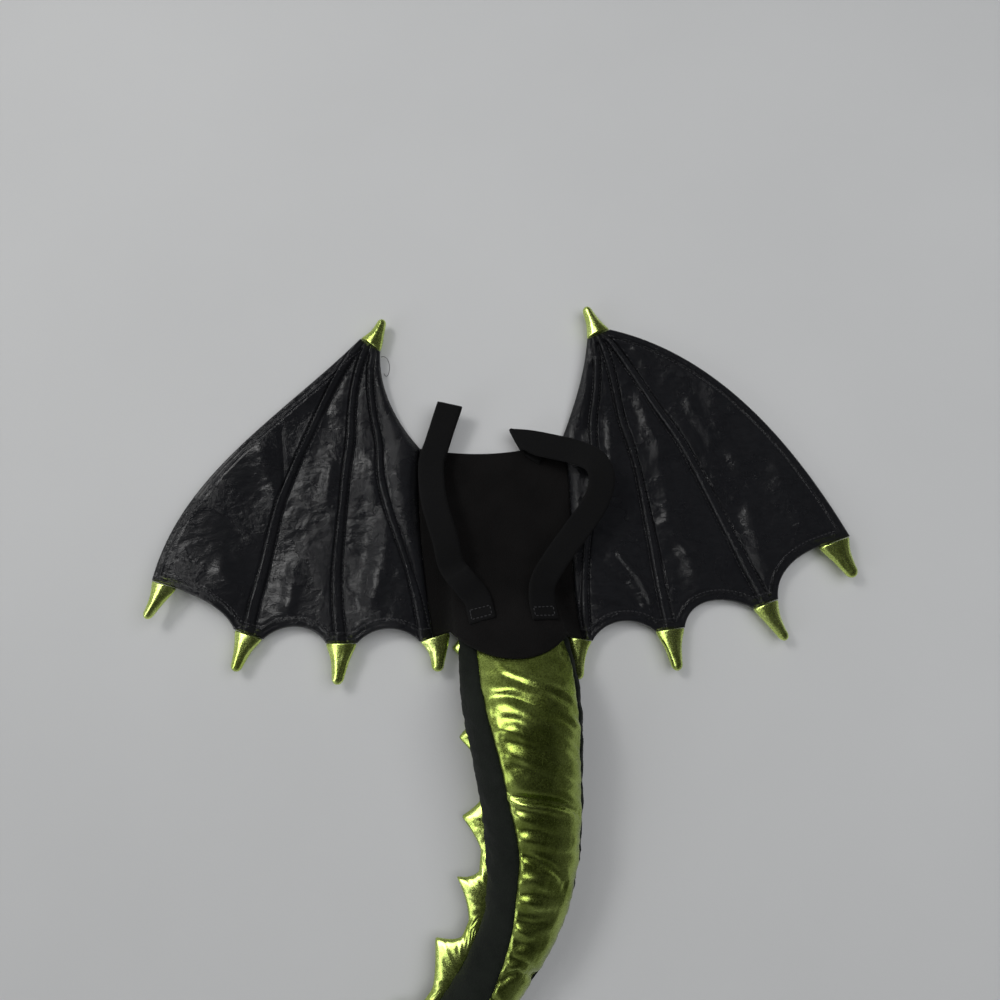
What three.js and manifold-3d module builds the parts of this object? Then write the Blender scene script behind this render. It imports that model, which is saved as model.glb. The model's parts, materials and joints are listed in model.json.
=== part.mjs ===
// Costume dragon wings for a child: a padded back panel with two elastic shoulder straps, a ribbed padded
// wing on each side with five stuffed claws, and a stuffed tail with a ridge of spikes.
// The piece lies on its outer side, straps up. Millimetres: +X to the right, +Y towards the neck, +Z up from
// the surface that it lies on. While the pieces are made, the origin is the middle of the seams' feet.
import * as THREE from "three";
import { mergeVertices } from "three/addons/utils/BufferGeometryUtils.js";
import Module from "manifold-3d";

// Clearance between sewn pieces
const GAP = 0.3;

// Back panel
const PANEL_WIDTH = 143; // between the two neck corners
const PANEL_HEIGHT = 184; // from the seams' feet to the neck corners
const PANEL_THICKNESS = 5;
const PANEL_LIFT = PANEL_THICKNESS / 2; // middle of the padding above the surface
const NECK_DIP = { leave: 14, arrive: 17 }; // degrees that the top edge dips at the left and right neck corner
const LOBE = { leave: 40, arrive: 50 }; // degrees that the rounded lower end bulges at its left and right
const PANEL_COLUMNS = 14;

// Wings
const WING_REACH = 250; // neck corner to the outer claw, measured across
const WING_HEIGHT = 294; // seam's foot to the top claw
const WING_THICKNESS = 5;
const WING_HEM = 3; // thickness at the stitched edge
const WING_LIFT = 20; // most that an edge stands off the surface
const RIB_WIDTH = 12;
const RIB_RISE = 3.5;
const BAY_COLUMNS = 5; // columns along each scallop
const RIB_CROWDING = 0.42; // most of the space to its neighbour that half a rib takes
const NECK_ROWS = 5; // rows above the neck corner
const SEAM_ROWS = 10; // rows beside the panel

// Claws
const CLAW_WIDTH = 30;
const CLAW_DEPTH = 15;
const CLAW_LENGTH = 38;
const CLAW_TIP = 0.28; // tip's share of the base
const CLAW_SIDES = 10;
const CLAW_RINGS = 6;

// Straps
const STRAP_WIDTH = 25;
const STRAP_THICKNESS = 1.6;
const STRAP_RISE = 20; // height of a strap's arch over the panel
const STRAP_EASE = 0.9; // clearance of a strap's sewn end over the faceted panel
const FOLD_RADIUS = 2.6;

// Tail
const TAIL_LENGTH = 610;
const TAIL_WIDTH = 105;
const TAIL_DEPTH = 78;
const TAIL_ROOT = 49.5; // start of the tail under the panel, above the seams' feet
const TAIL_STATIONS = 30;
const TAIL_EASE = 0.7; // space left round the faceted tail by the pieces that are sewn to it
const SPIKE_HEIGHT = 20; // above the strip that joins the spikes
const SPIKE_BASE = 56;
const RIDGE_STRIP = 11;
const RIDGE_THICKNESS = 9;

const COLOURS = {
  knit: { color: 0x0d0d0e, roughness: 0.95, metalness: 0 },
  vinyl: { color: 0x17171a, roughness: 0.45, metalness: 0 },
  webbing: { color: 0x19191b, roughness: 0.9, metalness: 0 },
  plush: { color: 0x141618, roughness: 0.95, metalness: 0 },
  foil: { color: 0x8fae35, roughness: 0.3, metalness: 0.85 },
};

// Wing corners, from the seam's foot round to the top. out is a share of WING_REACH from the neck corner, up a
// share of WING_HEIGHT. seat and length are shares of the claw's width and length. facing and point are
// degrees from straight down, outwards positive. lift and tip are shares of WING_LIFT.
const LEFT_CORNERS = [
  { name: "inner", out: -0.027, up: -0.01, facing: -13, seat: 1, length: 0.84, point: -1, lift: 0.55, tip: 0.58 },
  { name: "third", out: 0.324, up: -0.01, facing: 4, seat: 1, length: 1, point: 8, lift: 0.6, tip: 0.64 },
  { name: "second", out: 0.674, up: 0.038, facing: 22, seat: 0.96, length: 0.94, point: 21, lift: 0.5, tip: 0.56 },
  { name: "outer", out: 0.983, up: 0.213, facing: 21, seat: 0.84, length: 0.93, point: 29, lift: 0.9, tip: 0.9 },
  { name: "top", out: 0.181, up: 1.004, facing: -142, seat: 0.84, length: 0.8, point: -153, lift: 0.5, tip: 0.52 },
];
const RIGHT_CORNERS = [
  { name: "inner", out: -0.004, up: -0.046, facing: -13, seat: 0.86, length: 0.98, point: -4, lift: 0.55, tip: 0.58 },
  { name: "third", out: 0.343, up: -0.035, facing: 2, seat: 0.96, length: 1.02, point: 5, lift: 0.45, tip: 0.52 },
  { name: "second", out: 0.717, up: 0.025, facing: 15, seat: 0.88, length: 1, point: 23, lift: 0.45, tip: 0.52 },
  { name: "outer", out: 1.011, up: 0.21, facing: 15, seat: 1.1, length: 0.99, point: 23, lift: 0.6, tip: 0.6 },
  { name: "top", out: 0.185, up: 0.992, facing: -160, seat: 0.86, length: 0.86, point: -161, lift: 0.5, tip: 0.5 },
];

// Share of the inner claw's seat that is sewn to the back panel instead of the wing
const LEFT_FOOT = 0.6;
const RIGHT_FOOT = 0.7;

// Edge after each corner. leave and arrive are the degrees that it bulges outwards at its two ends, and lift is
// the height of its middle as a share of WING_LIFT.
const LEFT_EDGES = {
  inner: { leave: -46, arrive: -46, lift: 0.75 },
  third: { leave: -50, arrive: -46, lift: 0.5 },
  second: { leave: -30, arrive: -12, lift: 0.9 },
  outer: { leave: 28, arrive: 5, lift: 0.55 },
  top: { leave: -24, arrive: -20, lift: 0.4 },
  neck: { leave: -8, arrive: -4 },
};
const RIGHT_EDGES = {
  inner: { leave: -50, arrive: -46, lift: 0.6 },
  third: { leave: -62, arrive: -44, lift: 0.4 },
  second: { leave: -42, arrive: -30, lift: 0.5 },
  outer: { leave: 20, arrive: 30, lift: 0.5 },
  top: { leave: -10, arrive: -6, lift: 0.4 },
  neck: { leave: -8, arrive: 10 },
};

// Stitched ribs, each named by the claw that it runs to: how far across the wing its middle is at each share
// down the wing. At the lower edge it ends in the middle of its claw's seat.
const LEFT_RIBS = [
  { at: 0, inner: 0.28, third: 0.58, second: 0.86 },
  { at: 0.2, inner: 0.25, third: 0.5, second: 0.79 },
  { at: 0.4, inner: 0.25, third: 0.45, second: 0.73 },
  { at: 0.6, inner: 0.15, third: 0.375, second: 0.68 },
  { at: 0.8, inner: 0.05, third: 0.345, second: 0.635 },
];
const RIGHT_RIBS = [
  { at: 0, inner: 0.24, third: 0.41, second: 0.6 },
  { at: 0.2, inner: 0.205, third: 0.39, second: 0.6 },
  { at: 0.4, inner: 0.17, third: 0.375, second: 0.62 },
  { at: 0.6, inner: 0.1, third: 0.335, second: 0.617 },
  { at: 0.8, inner: 0.045, third: 0.312, second: 0.622 },
];
const RIB_NAMES = ["inner", "third", "second"];

// Broad creases in the membrane, as shares across and down the wing. width is a share of WING_REACH and rise
// one of WING_LIFT.
const LEFT_CREASES = [
  { across: 0.6, down: 0.42, toAcross: 0.55, toDown: 0.68, width: 0.036, rise: 0.2 },
  { across: 0.24, down: 0.7, toAcross: 0.19, toDown: 0.93, width: 0.04, rise: 0.15 },
];
const RIGHT_CREASES = [
  { across: 0.16, down: 0.62, toAcross: 0.3, toDown: 0.93, width: 0.04, rise: 0.25 },
  { across: 0.1, down: 0.6, toAcross: 0.07, toDown: 0.93, width: 0.032, rise: 0.2 },
];

// Strap runs. across is a share of PANEL_WIDTH from the middle, up a share of PANEL_HEIGHT, rise a share of
// STRAP_RISE above what is below, and heading the way that the strap runs, in degrees from +X. lean turns the
// line across the strap where it is folded askew.
const LEFT_STRAP = {
  sewn: [
    { across: -0.41, up: 0.93, rise: 0.0, heading: 68 },
    { across: -0.36, up: 1.04, rise: 0.18, heading: 68 },
    { across: -0.275, up: 1.2, rise: 0.42, heading: 71 },
  ],
  run: [
    { across: -0.29, up: 1.18, rise: 0.6, heading: -104 },
    { across: -0.375, up: 1.0, rise: 0.45, heading: -112 },
    { across: -0.42, up: 0.89, rise: 0.5, heading: -100 },
    { across: -0.41, up: 0.69, rise: 0.95, heading: -84 },
    { across: -0.345, up: 0.47, rise: 1.0, heading: -77 },
    { across: -0.315, up: 0.34, rise: 0.75, heading: -72 },
    { across: -0.235, up: 0.245, rise: 0.5, heading: -56 },
    { across: -0.16, up: 0.16, rise: 0.14, heading: -62 },
    { across: -0.13, up: 0.045, rise: 0.0, heading: -80 },
  ],
};
const RIGHT_STRAP = {
  sewn: [
    { across: 0.37, up: 0.925, rise: 0.0, heading: 150 },
    { across: 0.27, up: 0.97, rise: 0.1, heading: 158, lean: 16 },
    { across: 0.185, up: 1.0, rise: 0.22, heading: 160, lean: 44 },
  ],
  run: [
    { across: 0.185, up: 1.0, rise: 0.55, heading: -20, lean: 44 },
    { across: 0.37, up: 0.95, rise: 0.7, heading: -18 },
    { across: 0.56, up: 0.898, rise: 0.85, heading: -24 },
    { across: 0.69, up: 0.83, rise: 1.1, heading: -58 },
    { across: 0.725, up: 0.725, rise: 1.2, heading: -92 },
    { across: 0.66, up: 0.6, rise: 1.15, heading: -123 },
    { across: 0.52, up: 0.465, rise: 1.0, heading: -132 },
    { across: 0.38, up: 0.335, rise: 0.75, heading: -126 },
    { across: 0.285, up: 0.225, rise: 0.45, heading: -104 },
    { across: 0.265, up: 0.135, rise: 0.14, heading: -86 },
    { across: 0.275, up: 0.03, rise: 0.0, heading: -82 },
  ],
};

// Tail sections. at is a share of TAIL_LENGTH, heading the degrees that the tail has turned to the left from
// straight down, width and depth shares of the full section. The belly reaches from the angle right to the
// angle left round the section, and the ridge is sewn on at the angle ridge: 0 is the right side, 90 the top.
const TAIL_SECTIONS = [
  { at: 0, heading: -5, width: 0.8, depth: 0.1, left: 133, right: 24, ridge: 238 },
  { at: 0.04, heading: -6, width: 0.86, depth: 0.23, left: 133, right: 24, ridge: 238 },
  { at: 0.08, heading: -8, width: 0.9, depth: 0.41, left: 133, right: 24, ridge: 238 },
  { at: 0.115, heading: -7, width: 0.96, depth: 0.6, left: 133, right: 24, ridge: 237 },
  { at: 0.165, heading: -4, width: 1.0, depth: 0.86, left: 131, right: 24, ridge: 235 },
  { at: 0.215, heading: -3, width: 0.98, depth: 1.0, left: 127, right: 24, ridge: 233 },
  { at: 0.26, heading: -2, width: 0.92, depth: 1.0, left: 123, right: 23, ridge: 230 },
  { at: 0.325, heading: 0, width: 0.84, depth: 0.92, left: 118, right: 20, ridge: 222 },
  { at: 0.39, heading: 6, width: 0.77, depth: 0.85, left: 109.5, right: 19, ridge: 210 },
  { at: 0.455, heading: 15, width: 0.68, depth: 0.76, left: 109.5, right: 18, ridge: 200 },
  { at: 0.505, heading: 27, width: 0.6, depth: 0.67, left: 103, right: 15, ridge: 192 },
  { at: 0.55, heading: 35, width: 0.55, depth: 0.61, left: 94, right: 12, ridge: 188 },
  { at: 0.6, heading: 41, width: 0.5, depth: 0.56, left: 80, right: 8, ridge: 184 },
  { at: 0.705, heading: 51, width: 0.42, depth: 0.47, left: 64, right: 0, ridge: 180 },
  { at: 0.82, heading: 63, width: 0.31, depth: 0.35, left: 58, right: -8, ridge: 180 },
  { at: 0.92, heading: 74, width: 0.18, depth: 0.21, left: 60, right: -14, ridge: 180 },
  { at: 1, heading: 82, width: 0.05, depth: 0.06, left: 60, right: -16, ridge: 180 },
];
// Spikes of the ridge: where each tip is as a share of TAIL_LENGTH, and its size as a share of the largest.
const SPIKES = [
  { at: 0.094, size: 0.9 },
  { at: 0.232, size: 1 },
  { at: 0.352, size: 1 },
  { at: 0.47, size: 1 },
  { at: 0.595, size: 0.95 },
  { at: 0.706, size: 0.8 },
  { at: 0.806, size: 0.65 },
  { at: 0.893, size: 0.48 },
];
// Gathers pulled in across the belly: middle and half length as shares of TAIL_LENGTH, deep of TAIL_DEPTH.
const TAIL_GATHERS = [
  { at: 0.335, long: 0.014, deep: 0.058 },
  { at: 0.425, long: 0.013, deep: 0.045 },
  { at: 0.535, long: 0.012, deep: 0.038 },
];

const { degToRad, lerp, clamp, smoothstep } = THREE.MathUtils;
const wasm = await Module();
wasm.setup();

// Bearing from straight down, outwards positive, as a plan direction of a right-hand wing.
const facingTo = (degrees) => new THREE.Vector2(Math.sin(degToRad(degrees)), -Math.cos(degToRad(degrees)));
const directionTo = (degrees) => new THREE.Vector2(Math.cos(degToRad(degrees)), Math.sin(degToRad(degrees)));

// Value of a column at a place along a table whose rows are sorted by at, on a smooth curve through the rows.
function follow(rows, column, at) {
  const last = rows.length - 1;
  let k = 0;
  while (k < last - 1 && at > rows[k + 1].at) k++;
  const slope = (i) => {
    const a = rows[Math.max(i - 1, 0)];
    const b = rows[Math.min(i + 1, last)];
    return (b[column] - a[column]) / (b.at - a.at);
  };
  const span = rows[k + 1].at - rows[k].at;
  const t = clamp((at - rows[k].at) / span, 0, 1);
  const rise = rows[k + 1][column] - rows[k][column];
  const bend = t * (1 - t);
  return rows[k][column] + rise * t
    + bend * ((1 - t) * (slope(k) * span - rise) - t * (slope(k + 1) * span - rise));
}

// Plan curve from a to b that bulges to the right of its way by leave degrees at a and arrive degrees at b.
function bow(a, b, { leave, arrive }) {
  const chord = b.clone().sub(a);
  const arm = (degrees) => chord.length() / (3 * Math.cos(degToRad(degrees) / 2) ** 2);
  const way = chord.clone().normalize();
  const origin = new THREE.Vector2();
  const out = way.clone().rotateAround(origin, -degToRad(leave)).multiplyScalar(arm(leave));
  const back = way.clone().rotateAround(origin, degToRad(arrive)).multiplyScalar(arm(arrive));
  return new THREE.CubicBezierCurve(a, a.clone().add(out), b.clone().sub(back), b);
}

// Several plan curves end to end, read by the share of their whole length.
function chain(curves) {
  const lengths = curves.map((curve) => curve.getLength());
  const total = lengths.reduce((sum, length) => sum + length, 0);
  const ends = [0];
  lengths.forEach((length) => ends.push(ends.at(-1) + length / total));
  const at = (share) => {
    let k = 0;
    while (k < curves.length - 1 && share > ends[k + 1]) k++;
    return curves[k].getPointAt(clamp((share - ends[k]) / (ends[k + 1] - ends[k]), 0, 1));
  };
  return { at, ends, length: total };
}

// Point or height inside a four-sided patch, from its four edges: a Coons patch.
function patchPoint(edges, across, down) {
  const { top, bottom, start, finish } = edges;
  const corners = top.at(0).clone().multiplyScalar((1 - across) * (1 - down))
    .addScaledVector(top.at(1), across * (1 - down))
    .addScaledVector(bottom.at(0), (1 - across) * down)
    .addScaledVector(bottom.at(1), across * down);
  return top.at(across).clone().multiplyScalar(1 - down)
    .addScaledVector(bottom.at(across), down)
    .addScaledVector(start.at(down), 1 - across)
    .addScaledVector(finish.at(down), across)
    .sub(corners);
}

// A closed geometry from points and triangles, turned so that its faces point out.
function closed(points, faces) {
  const volume = faces.reduce((sum, [a, b, c]) =>
    sum + points[a].dot(new THREE.Vector3().crossVectors(points[b], points[c])), 0);
  const ordered = volume < 0 ? faces.map(([a, b, c]) => [a, c, b]) : faces;
  const geometry = new THREE.BufferGeometry().setFromPoints(points);
  geometry.setIndex(ordered.flat());
  return geometry;
}

// A solid through rings of points, closed at both ends by a fan. The rings of a wedge start at its inner edge,
// and both of its flat sides are split the same way, so that two wedges meet face to face.
function skin(rings, wedge = false) {
  const count = rings[0].length;
  const points = rings.flat();
  const faces = [];
  for (let r = 0; r + 1 < rings.length; r++)
    for (let k = 0; k < count; k++) {
      const a = r * count + k;
      const b = r * count + ((k + 1) % count);
      if (wedge && k === count - 1) faces.push([a, b, a + count], [b, b + count, a + count]);
      else faces.push([a, b, b + count], [a, b + count, a + count]);
    }
  [0, rings.length - 1].forEach((r) => {
    const middle = points.length;
    const centre = rings[r].reduce((sum, p) => sum.add(p), new THREE.Vector3()).divideScalar(count);
    points.push(centre);
    for (let k = 0; k < count; k++) {
      const a = r * count + k;
      const b = r * count + ((k + 1) % count);
      faces.push(r ? [a, b, middle] : [b, a, middle]);
    }
  });
  return closed(points, faces);
}

// A solid between an upper and a lower grid of points, with a wall round the rim.
function quilt(upper, lower) {
  const rows = upper.length;
  const columns = upper[0].length;
  const points = [...upper.flat(), ...lower.flat()];
  const under = rows * columns;
  const faces = [];
  for (let j = 0; j + 1 < rows; j++)
    for (let i = 0; i + 1 < columns; i++) {
      const a = j * columns + i;
      const b = a + 1;
      const c = b + columns;
      const d = a + columns;
      faces.push([a, b, c], [a, c, d], [under + a, under + c, under + b], [under + a, under + d, under + c]);
    }
  const rim = [];
  for (let i = 0; i < columns - 1; i++) rim.push(i);
  for (let j = 0; j < rows - 1; j++) rim.push(j * columns + columns - 1);
  for (let i = columns - 1; i > 0; i--) rim.push((rows - 1) * columns + i);
  for (let j = rows - 1; j > 0; j--) rim.push(j * columns);
  rim.forEach((a, k) => {
    const b = rim[(k + 1) % rim.length];
    faces.push([b, a, under + a], [b, under + a, under + b]);
  });
  return closed(points, faces);
}

function solidOf(geometry) {
  const bare = mergeVertices(geometry.clone().deleteAttribute("normal"), 1e-4);
  return new wasm.Manifold(new wasm.Mesh({
    numProp: 3,
    vertProperties: new Float32Array(bare.attributes.position.array),
    triVerts: new Uint32Array(bare.index.array),
  }));
}

// The geometry with the space of the tool taken out of it.
function cutBy(geometry, tool) {
  const mesh = solidOf(geometry).subtract(tool).getMesh();
  const points = [];
  for (let i = 0; i < mesh.numVert; i++)
    points.push(new THREE.Vector3().fromArray(mesh.vertProperties, i * mesh.numProp));
  const faces = [];
  for (let i = 0; i < mesh.triVerts.length; i += 3) faces.push(Array.from(mesh.triVerts.subarray(i, i + 3)));
  return closed(points, faces);
}

// Tail: where its middle line is in plan and which way it heads, at a distance along it
function tailLine(distance) {
  const step = TAIL_LENGTH / 200;
  const place = new THREE.Vector2(0, TAIL_ROOT);
  const headingAt = (s) => degToRad(follow(TAIL_SECTIONS, "heading", clamp(s / TAIL_LENGTH, 0, 1)));
  for (let s = 0; s < distance; s += step) {
    const part = Math.min(step, distance - s);
    const heading = headingAt(s + part / 2);
    place.x -= Math.sin(heading) * part;
    place.y -= Math.cos(heading) * part;
  }
  const heading = headingAt(distance);
  return { place, aside: new THREE.Vector2(Math.cos(heading), -Math.sin(heading)) };
}

function tailSection(distance) {
  const at = clamp(distance / TAIL_LENGTH, 0, 1);
  const value = (column) => follow(TAIL_SECTIONS, column, at);
  return {
    ...tailLine(distance),
    at,
    halfWidth: (TAIL_WIDTH * value("width")) / 2,
    halfDepth: (TAIL_DEPTH * value("depth")) / 2,
    left: value("left"),
    right: value("right"),
    ridge: value("ridge"),
  };
}

// Depth that the gathers pull the belly in, at an angle round a section.
function gatherDepth(section, degrees) {
  const middle = (section.left + section.right) / 2;
  const half = (section.left - section.right) / 2;
  const belly = 1 - smoothstep(Math.abs(degrees - middle), half * 0.6, half);
  return TAIL_GATHERS.reduce((deep, row) =>
    deep + row.deep * TAIL_DEPTH * belly * Math.max(0, 1 - Math.abs(section.at - row.at) / row.long), 0);
}

// A point round a section, in space. It is never below the surface that the tail lies on.
function tailPoint(section, degrees, grow = 0) {
  const angle = degToRad(degrees);
  const inset = gatherDepth(section, degrees) - grow;
  const sideways = (section.halfWidth - inset) * Math.cos(angle);
  const height = section.halfDepth + (section.halfDepth - inset) * Math.sin(angle);
  const place = section.place.clone().addScaledVector(section.aside, sideways);
  return new THREE.Vector3(place.x, place.y, Math.max(height - TAIL_FLATTENED * section.halfDepth, -grow));
}
const TAIL_FLATTENED = 0.06; // share of the half depth that its own weight presses flat

function tailDistances() {
  const even = Array.from({ length: TAIL_STATIONS + 1 }, (_, k) => (k / TAIL_STATIONS) ** 0.92);
  const gathers = TAIL_GATHERS.flatMap(({ at, long }) => [at - long, at, at + long]);
  const clear = even.filter((share) => TAIL_GATHERS.every(({ at, long }) => Math.abs(share - at) > long * 1.4));
  return [...clear, ...gathers].sort((a, b) => a - b).map((share) => share * TAIL_LENGTH);
}

// One panel of the tail with its share of the filling: a wedge of each section between two angles
function tailPanel(from, to, arcs) {
  const rings = tailDistances().map((distance) => {
    const section = tailSection(distance);
    const start = from(section);
    const end = to(section);
    const bisector = degToRad((start + end) / 2);
    const shift = GAP / 2 / Math.sin(degToRad(end - start) / 2);
    const offset = new THREE.Vector3(
      section.aside.x * Math.cos(bisector), section.aside.y * Math.cos(bisector), Math.sin(bisector));
    const middle = new THREE.Vector3(section.place.x, section.place.y, section.halfDepth * (1 - TAIL_FLATTENED));
    const ring = [middle];
    for (let k = 0; k <= arcs; k++) ring.push(tailPoint(section, lerp(start, end, k / arcs)));
    ring.forEach((point) => {
      point.addScaledVector(offset, shift);
      point.z = Math.max(point.z, 0);
    });
    return ring;
  });
  return skin(rings, true);
}

// The whole tail made larger all round, to cut its neighbours by
function tailSpace(grow) {
  const sides = 40;
  const rings = tailDistances().map((distance) => {
    const section = tailSection(distance);
    return Array.from({ length: sides }, (_, k) => tailPoint(section, (k * 360) / sides, grow));
  });
  rings[0].forEach((point) => (point.y += grow));
  return solidOf(skin(rings));
}

// Height of the ridge above its seam: a strip with a spike at each tip of the table
function ridgeHeight(distance) {
  const size = follow(SPIKES, "size", clamp(distance / TAIL_LENGTH, SPIKES[0].at, SPIKES.at(-1).at));
  const away = Math.min(...SPIKES.map((row) => Math.abs(distance - row.at * TAIL_LENGTH)));
  const spike = Math.max(0, 1 - away / (SPIKE_BASE / 2) / Math.max(size, 0.6)) ** 0.9;
  return size * (RIDGE_STRIP + SPIKE_HEIGHT * spike);
}

function ridge() {
  const distances = SPIKES.flatMap(({ at, size }) =>
    [-0.5, -0.25, 0, 0.25, 0.5].map((step) => at * TAIL_LENGTH + step * SPIKE_BASE * Math.max(size, 0.6)));
  distances.sort((a, b) => a - b);
  // Shares out from the seam and half thicknesses of the ridge's lens-shaped section
  const lens = [
    { out: -0.05, half: 0.25 },
    { out: 0.3, half: 0.5 },
    { out: 0.75, half: 0.32 },
    { out: 1, half: 0.14 },
  ];
  const rings = distances.map((distance) => {
    const section = tailSection(distance);
    const seam = degToRad(section.ridge);
    const lean = degToRad(lerp(186, 191, smoothstep(section.at, 0.3, 0.6)));
    const height = ridgeHeight(distance);
    const thickness = RIDGE_THICKNESS * Math.min(1, 0.45 + height / SPIKE_HEIGHT / 2) * spikeThinning(section.at);
    const place = (out, side) => {
      const along = section.halfWidth * Math.cos(seam) + out * height * Math.cos(lean);
      const base = section.halfDepth * (1 - TAIL_FLATTENED + Math.sin(seam));
      const z = base + out * height * Math.sin(lean) + side * thickness;
      const plan = section.place.clone().addScaledVector(section.aside, along);
      return new THREE.Vector3(plan.x, plan.y, z);
    };
    const ring = [...lens.map(({ out, half }) => place(out, half)),
      ...lens.toReversed().map(({ out, half }) => place(out, -half))];
    const lowest = Math.min(...ring.map((point) => point.z));
    ring.forEach((point) => (point.z += Math.max(0, -lowest)));
    return ring;
  });
  return cutBy(skin(rings), tailSpace(TAIL_EASE));
}
const spikeThinning = (at) => lerp(1, 0.5, smoothstep(at, 0.6, 1));

// Top of the tail's root under the panel at a place in plan, sloping away beside it and before it
function rootTop(x, y) {
  const distance = TAIL_ROOT - y;
  const section = tailSection(Math.max(distance, 0));
  const reach = section.halfWidth + ROOT_EASE;
  const aside = Math.abs(x - section.place.x);
  const inside = Math.sqrt(Math.max(0, 1 - (aside / reach) ** 2));
  const top = section.halfDepth * (1 - TAIL_FLATTENED + inside);
  return top - Math.max(0, aside - reach) * 1.2 - Math.max(0, -distance) * 0.7;
}
const ROOT_EASE = 4; // how far beyond the tail's side the panel starts to drop

// Middle height of the panel: flat on the surface, and draped over the tail's root
function panelHeight(x, y) {
  const rise = rootTop(x, y) + PANEL_THICKNESS / 2 + GAP - PANEL_LIFT;
  if (rise < -DRAPE_EASE) return PANEL_LIFT;
  return PANEL_LIFT + (rise > DRAPE_EASE ? rise : (rise + DRAPE_EASE) ** 2 / (4 * DRAPE_EASE));
}
const DRAPE_EASE = 5; // height over which the panel turns from flat to sloping

// A wing's plan, as for a right-hand wing: its seats, its four sides and the share of the start at the neck
function wingPlan(corners, edges, footShare) {
  const seats = {};
  corners.forEach((row) => {
    const facing = facingTo(row.facing);
    const along = new THREE.Vector2(-facing.y, facing.x);
    const middle = new THREE.Vector2(PANEL_WIDTH / 2 + row.out * WING_REACH, row.up * WING_HEIGHT);
    const half = (row.seat * CLAW_WIDTH) / 2;
    seats[row.name] = {
      row, facing, along, middle,
      first: middle.clone().addScaledVector(along, -half),
      last: middle.clone().addScaledVector(along, half),
    };
  });
  const neck = new THREE.Vector2(PANEL_WIDTH / 2, PANEL_HEIGHT);
  const straight = (seat) => new THREE.LineCurve(seat.first, seat.last);
  const { inner, third, second, outer, top } = seats;
  const foot = inner.first.clone().lerp(inner.last, footShare);
  const backwards = (curve) => ({ at: (share) => curve.at(1 - share), ends: curve.ends });
  const bottom = chain([
    new THREE.LineCurve(foot, inner.last), bow(inner.last, third.first, edges.inner),
    straight(third), bow(third.last, second.first, edges.third),
    straight(second), bow(second.last, outer.first, edges.second), straight(outer),
  ]);
  const seam = bow(neck, foot, edges.neck);
  const start = chain([bow(top.last, neck, edges.top), seam]);
  return {
    seats, bottom, start, seam, foot,
    finish: backwards(chain([bow(outer.last, top.first, edges.outer)])),
    top: backwards(chain([straight(top)])),
  };
}

// Heights along the bottom edge and the other sides of a wing, in millimetres above the surface
function wingHeights(plan, corners, edges, side) {
  const lift = (share) => share * WING_LIFT;
  const seat = Object.fromEntries(corners.map((row) => [row.name, lift(row.lift)]));
  const [, , thirdFirst, thirdLast, secondFirst, secondLast, outerFirst] = plan.bottom.ends;
  const innerLast = plan.bottom.ends[1];
  const footHeight = panelHeight(side * plan.foot.x, plan.foot.y);
  const bottom = [
    { at: 0, z: footHeight },
    { at: innerLast * 0.5, z: seat.inner },
    { at: innerLast, z: seat.inner },
    { at: (innerLast + thirdFirst) / 2, z: lift(edges.inner.lift) },
    { at: (thirdFirst + thirdLast) / 2, z: seat.third },
    { at: (thirdLast + secondFirst) / 2, z: lift(edges.third.lift) },
    { at: (secondFirst + secondLast) / 2, z: seat.second },
    { at: (secondLast + outerFirst) / 2, z: lift(edges.second.lift) },
    { at: (outerFirst + 1) / 2, z: seat.outer },
    { at: 1, z: seat.outer },
  ];
  const neckShare = plan.start.ends[1];
  const start = (down) => {
    if (down > neckShare) {
      const place = plan.start.at(down);
      return panelHeight(side * place.x, place.y);
    }
    const neckHeight = panelHeight((side * PANEL_WIDTH) / 2, PANEL_HEIGHT);
    return follow([
      { at: 0, z: seat.top },
      { at: 0.5, z: lift(edges.top.lift) },
      { at: 1, z: neckHeight },
    ], "z", down / neckShare);
  };
  const finish = [
    { at: 0, z: seat.top },
    { at: 0.5, z: lift(edges.outer.lift) },
    { at: 1, z: seat.outer },
  ];
  return {
    top: () => seat.top,
    bottom: (across) => follow(bottom, "z", across),
    start,
    finish: (down) => follow(finish, "z", down),
    footHeight, seat,
  };
}

// Share of the wing that the surface presses flat: none at its edges, all of it inside
const pressed = (across, down) =>
  smoothstep(Math.min(across, 1 - across), 0, 0.3) * smoothstep(Math.min(down, 1 - down), 0, 0.3);

function wingMiddle(heights, across, down) {
  const { top, bottom, start, finish, footHeight, seat } = heights;
  const corners = seat.top * (1 - down) + footHeight * (1 - across) * down + seat.outer * across * down;
  const free = top() * (1 - down) + bottom(across) * down + start(down) * (1 - across) + finish(down) * across
    - corners;
  return lerp(free, WING_THICKNESS / 2, pressed(across, down));
}

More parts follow.
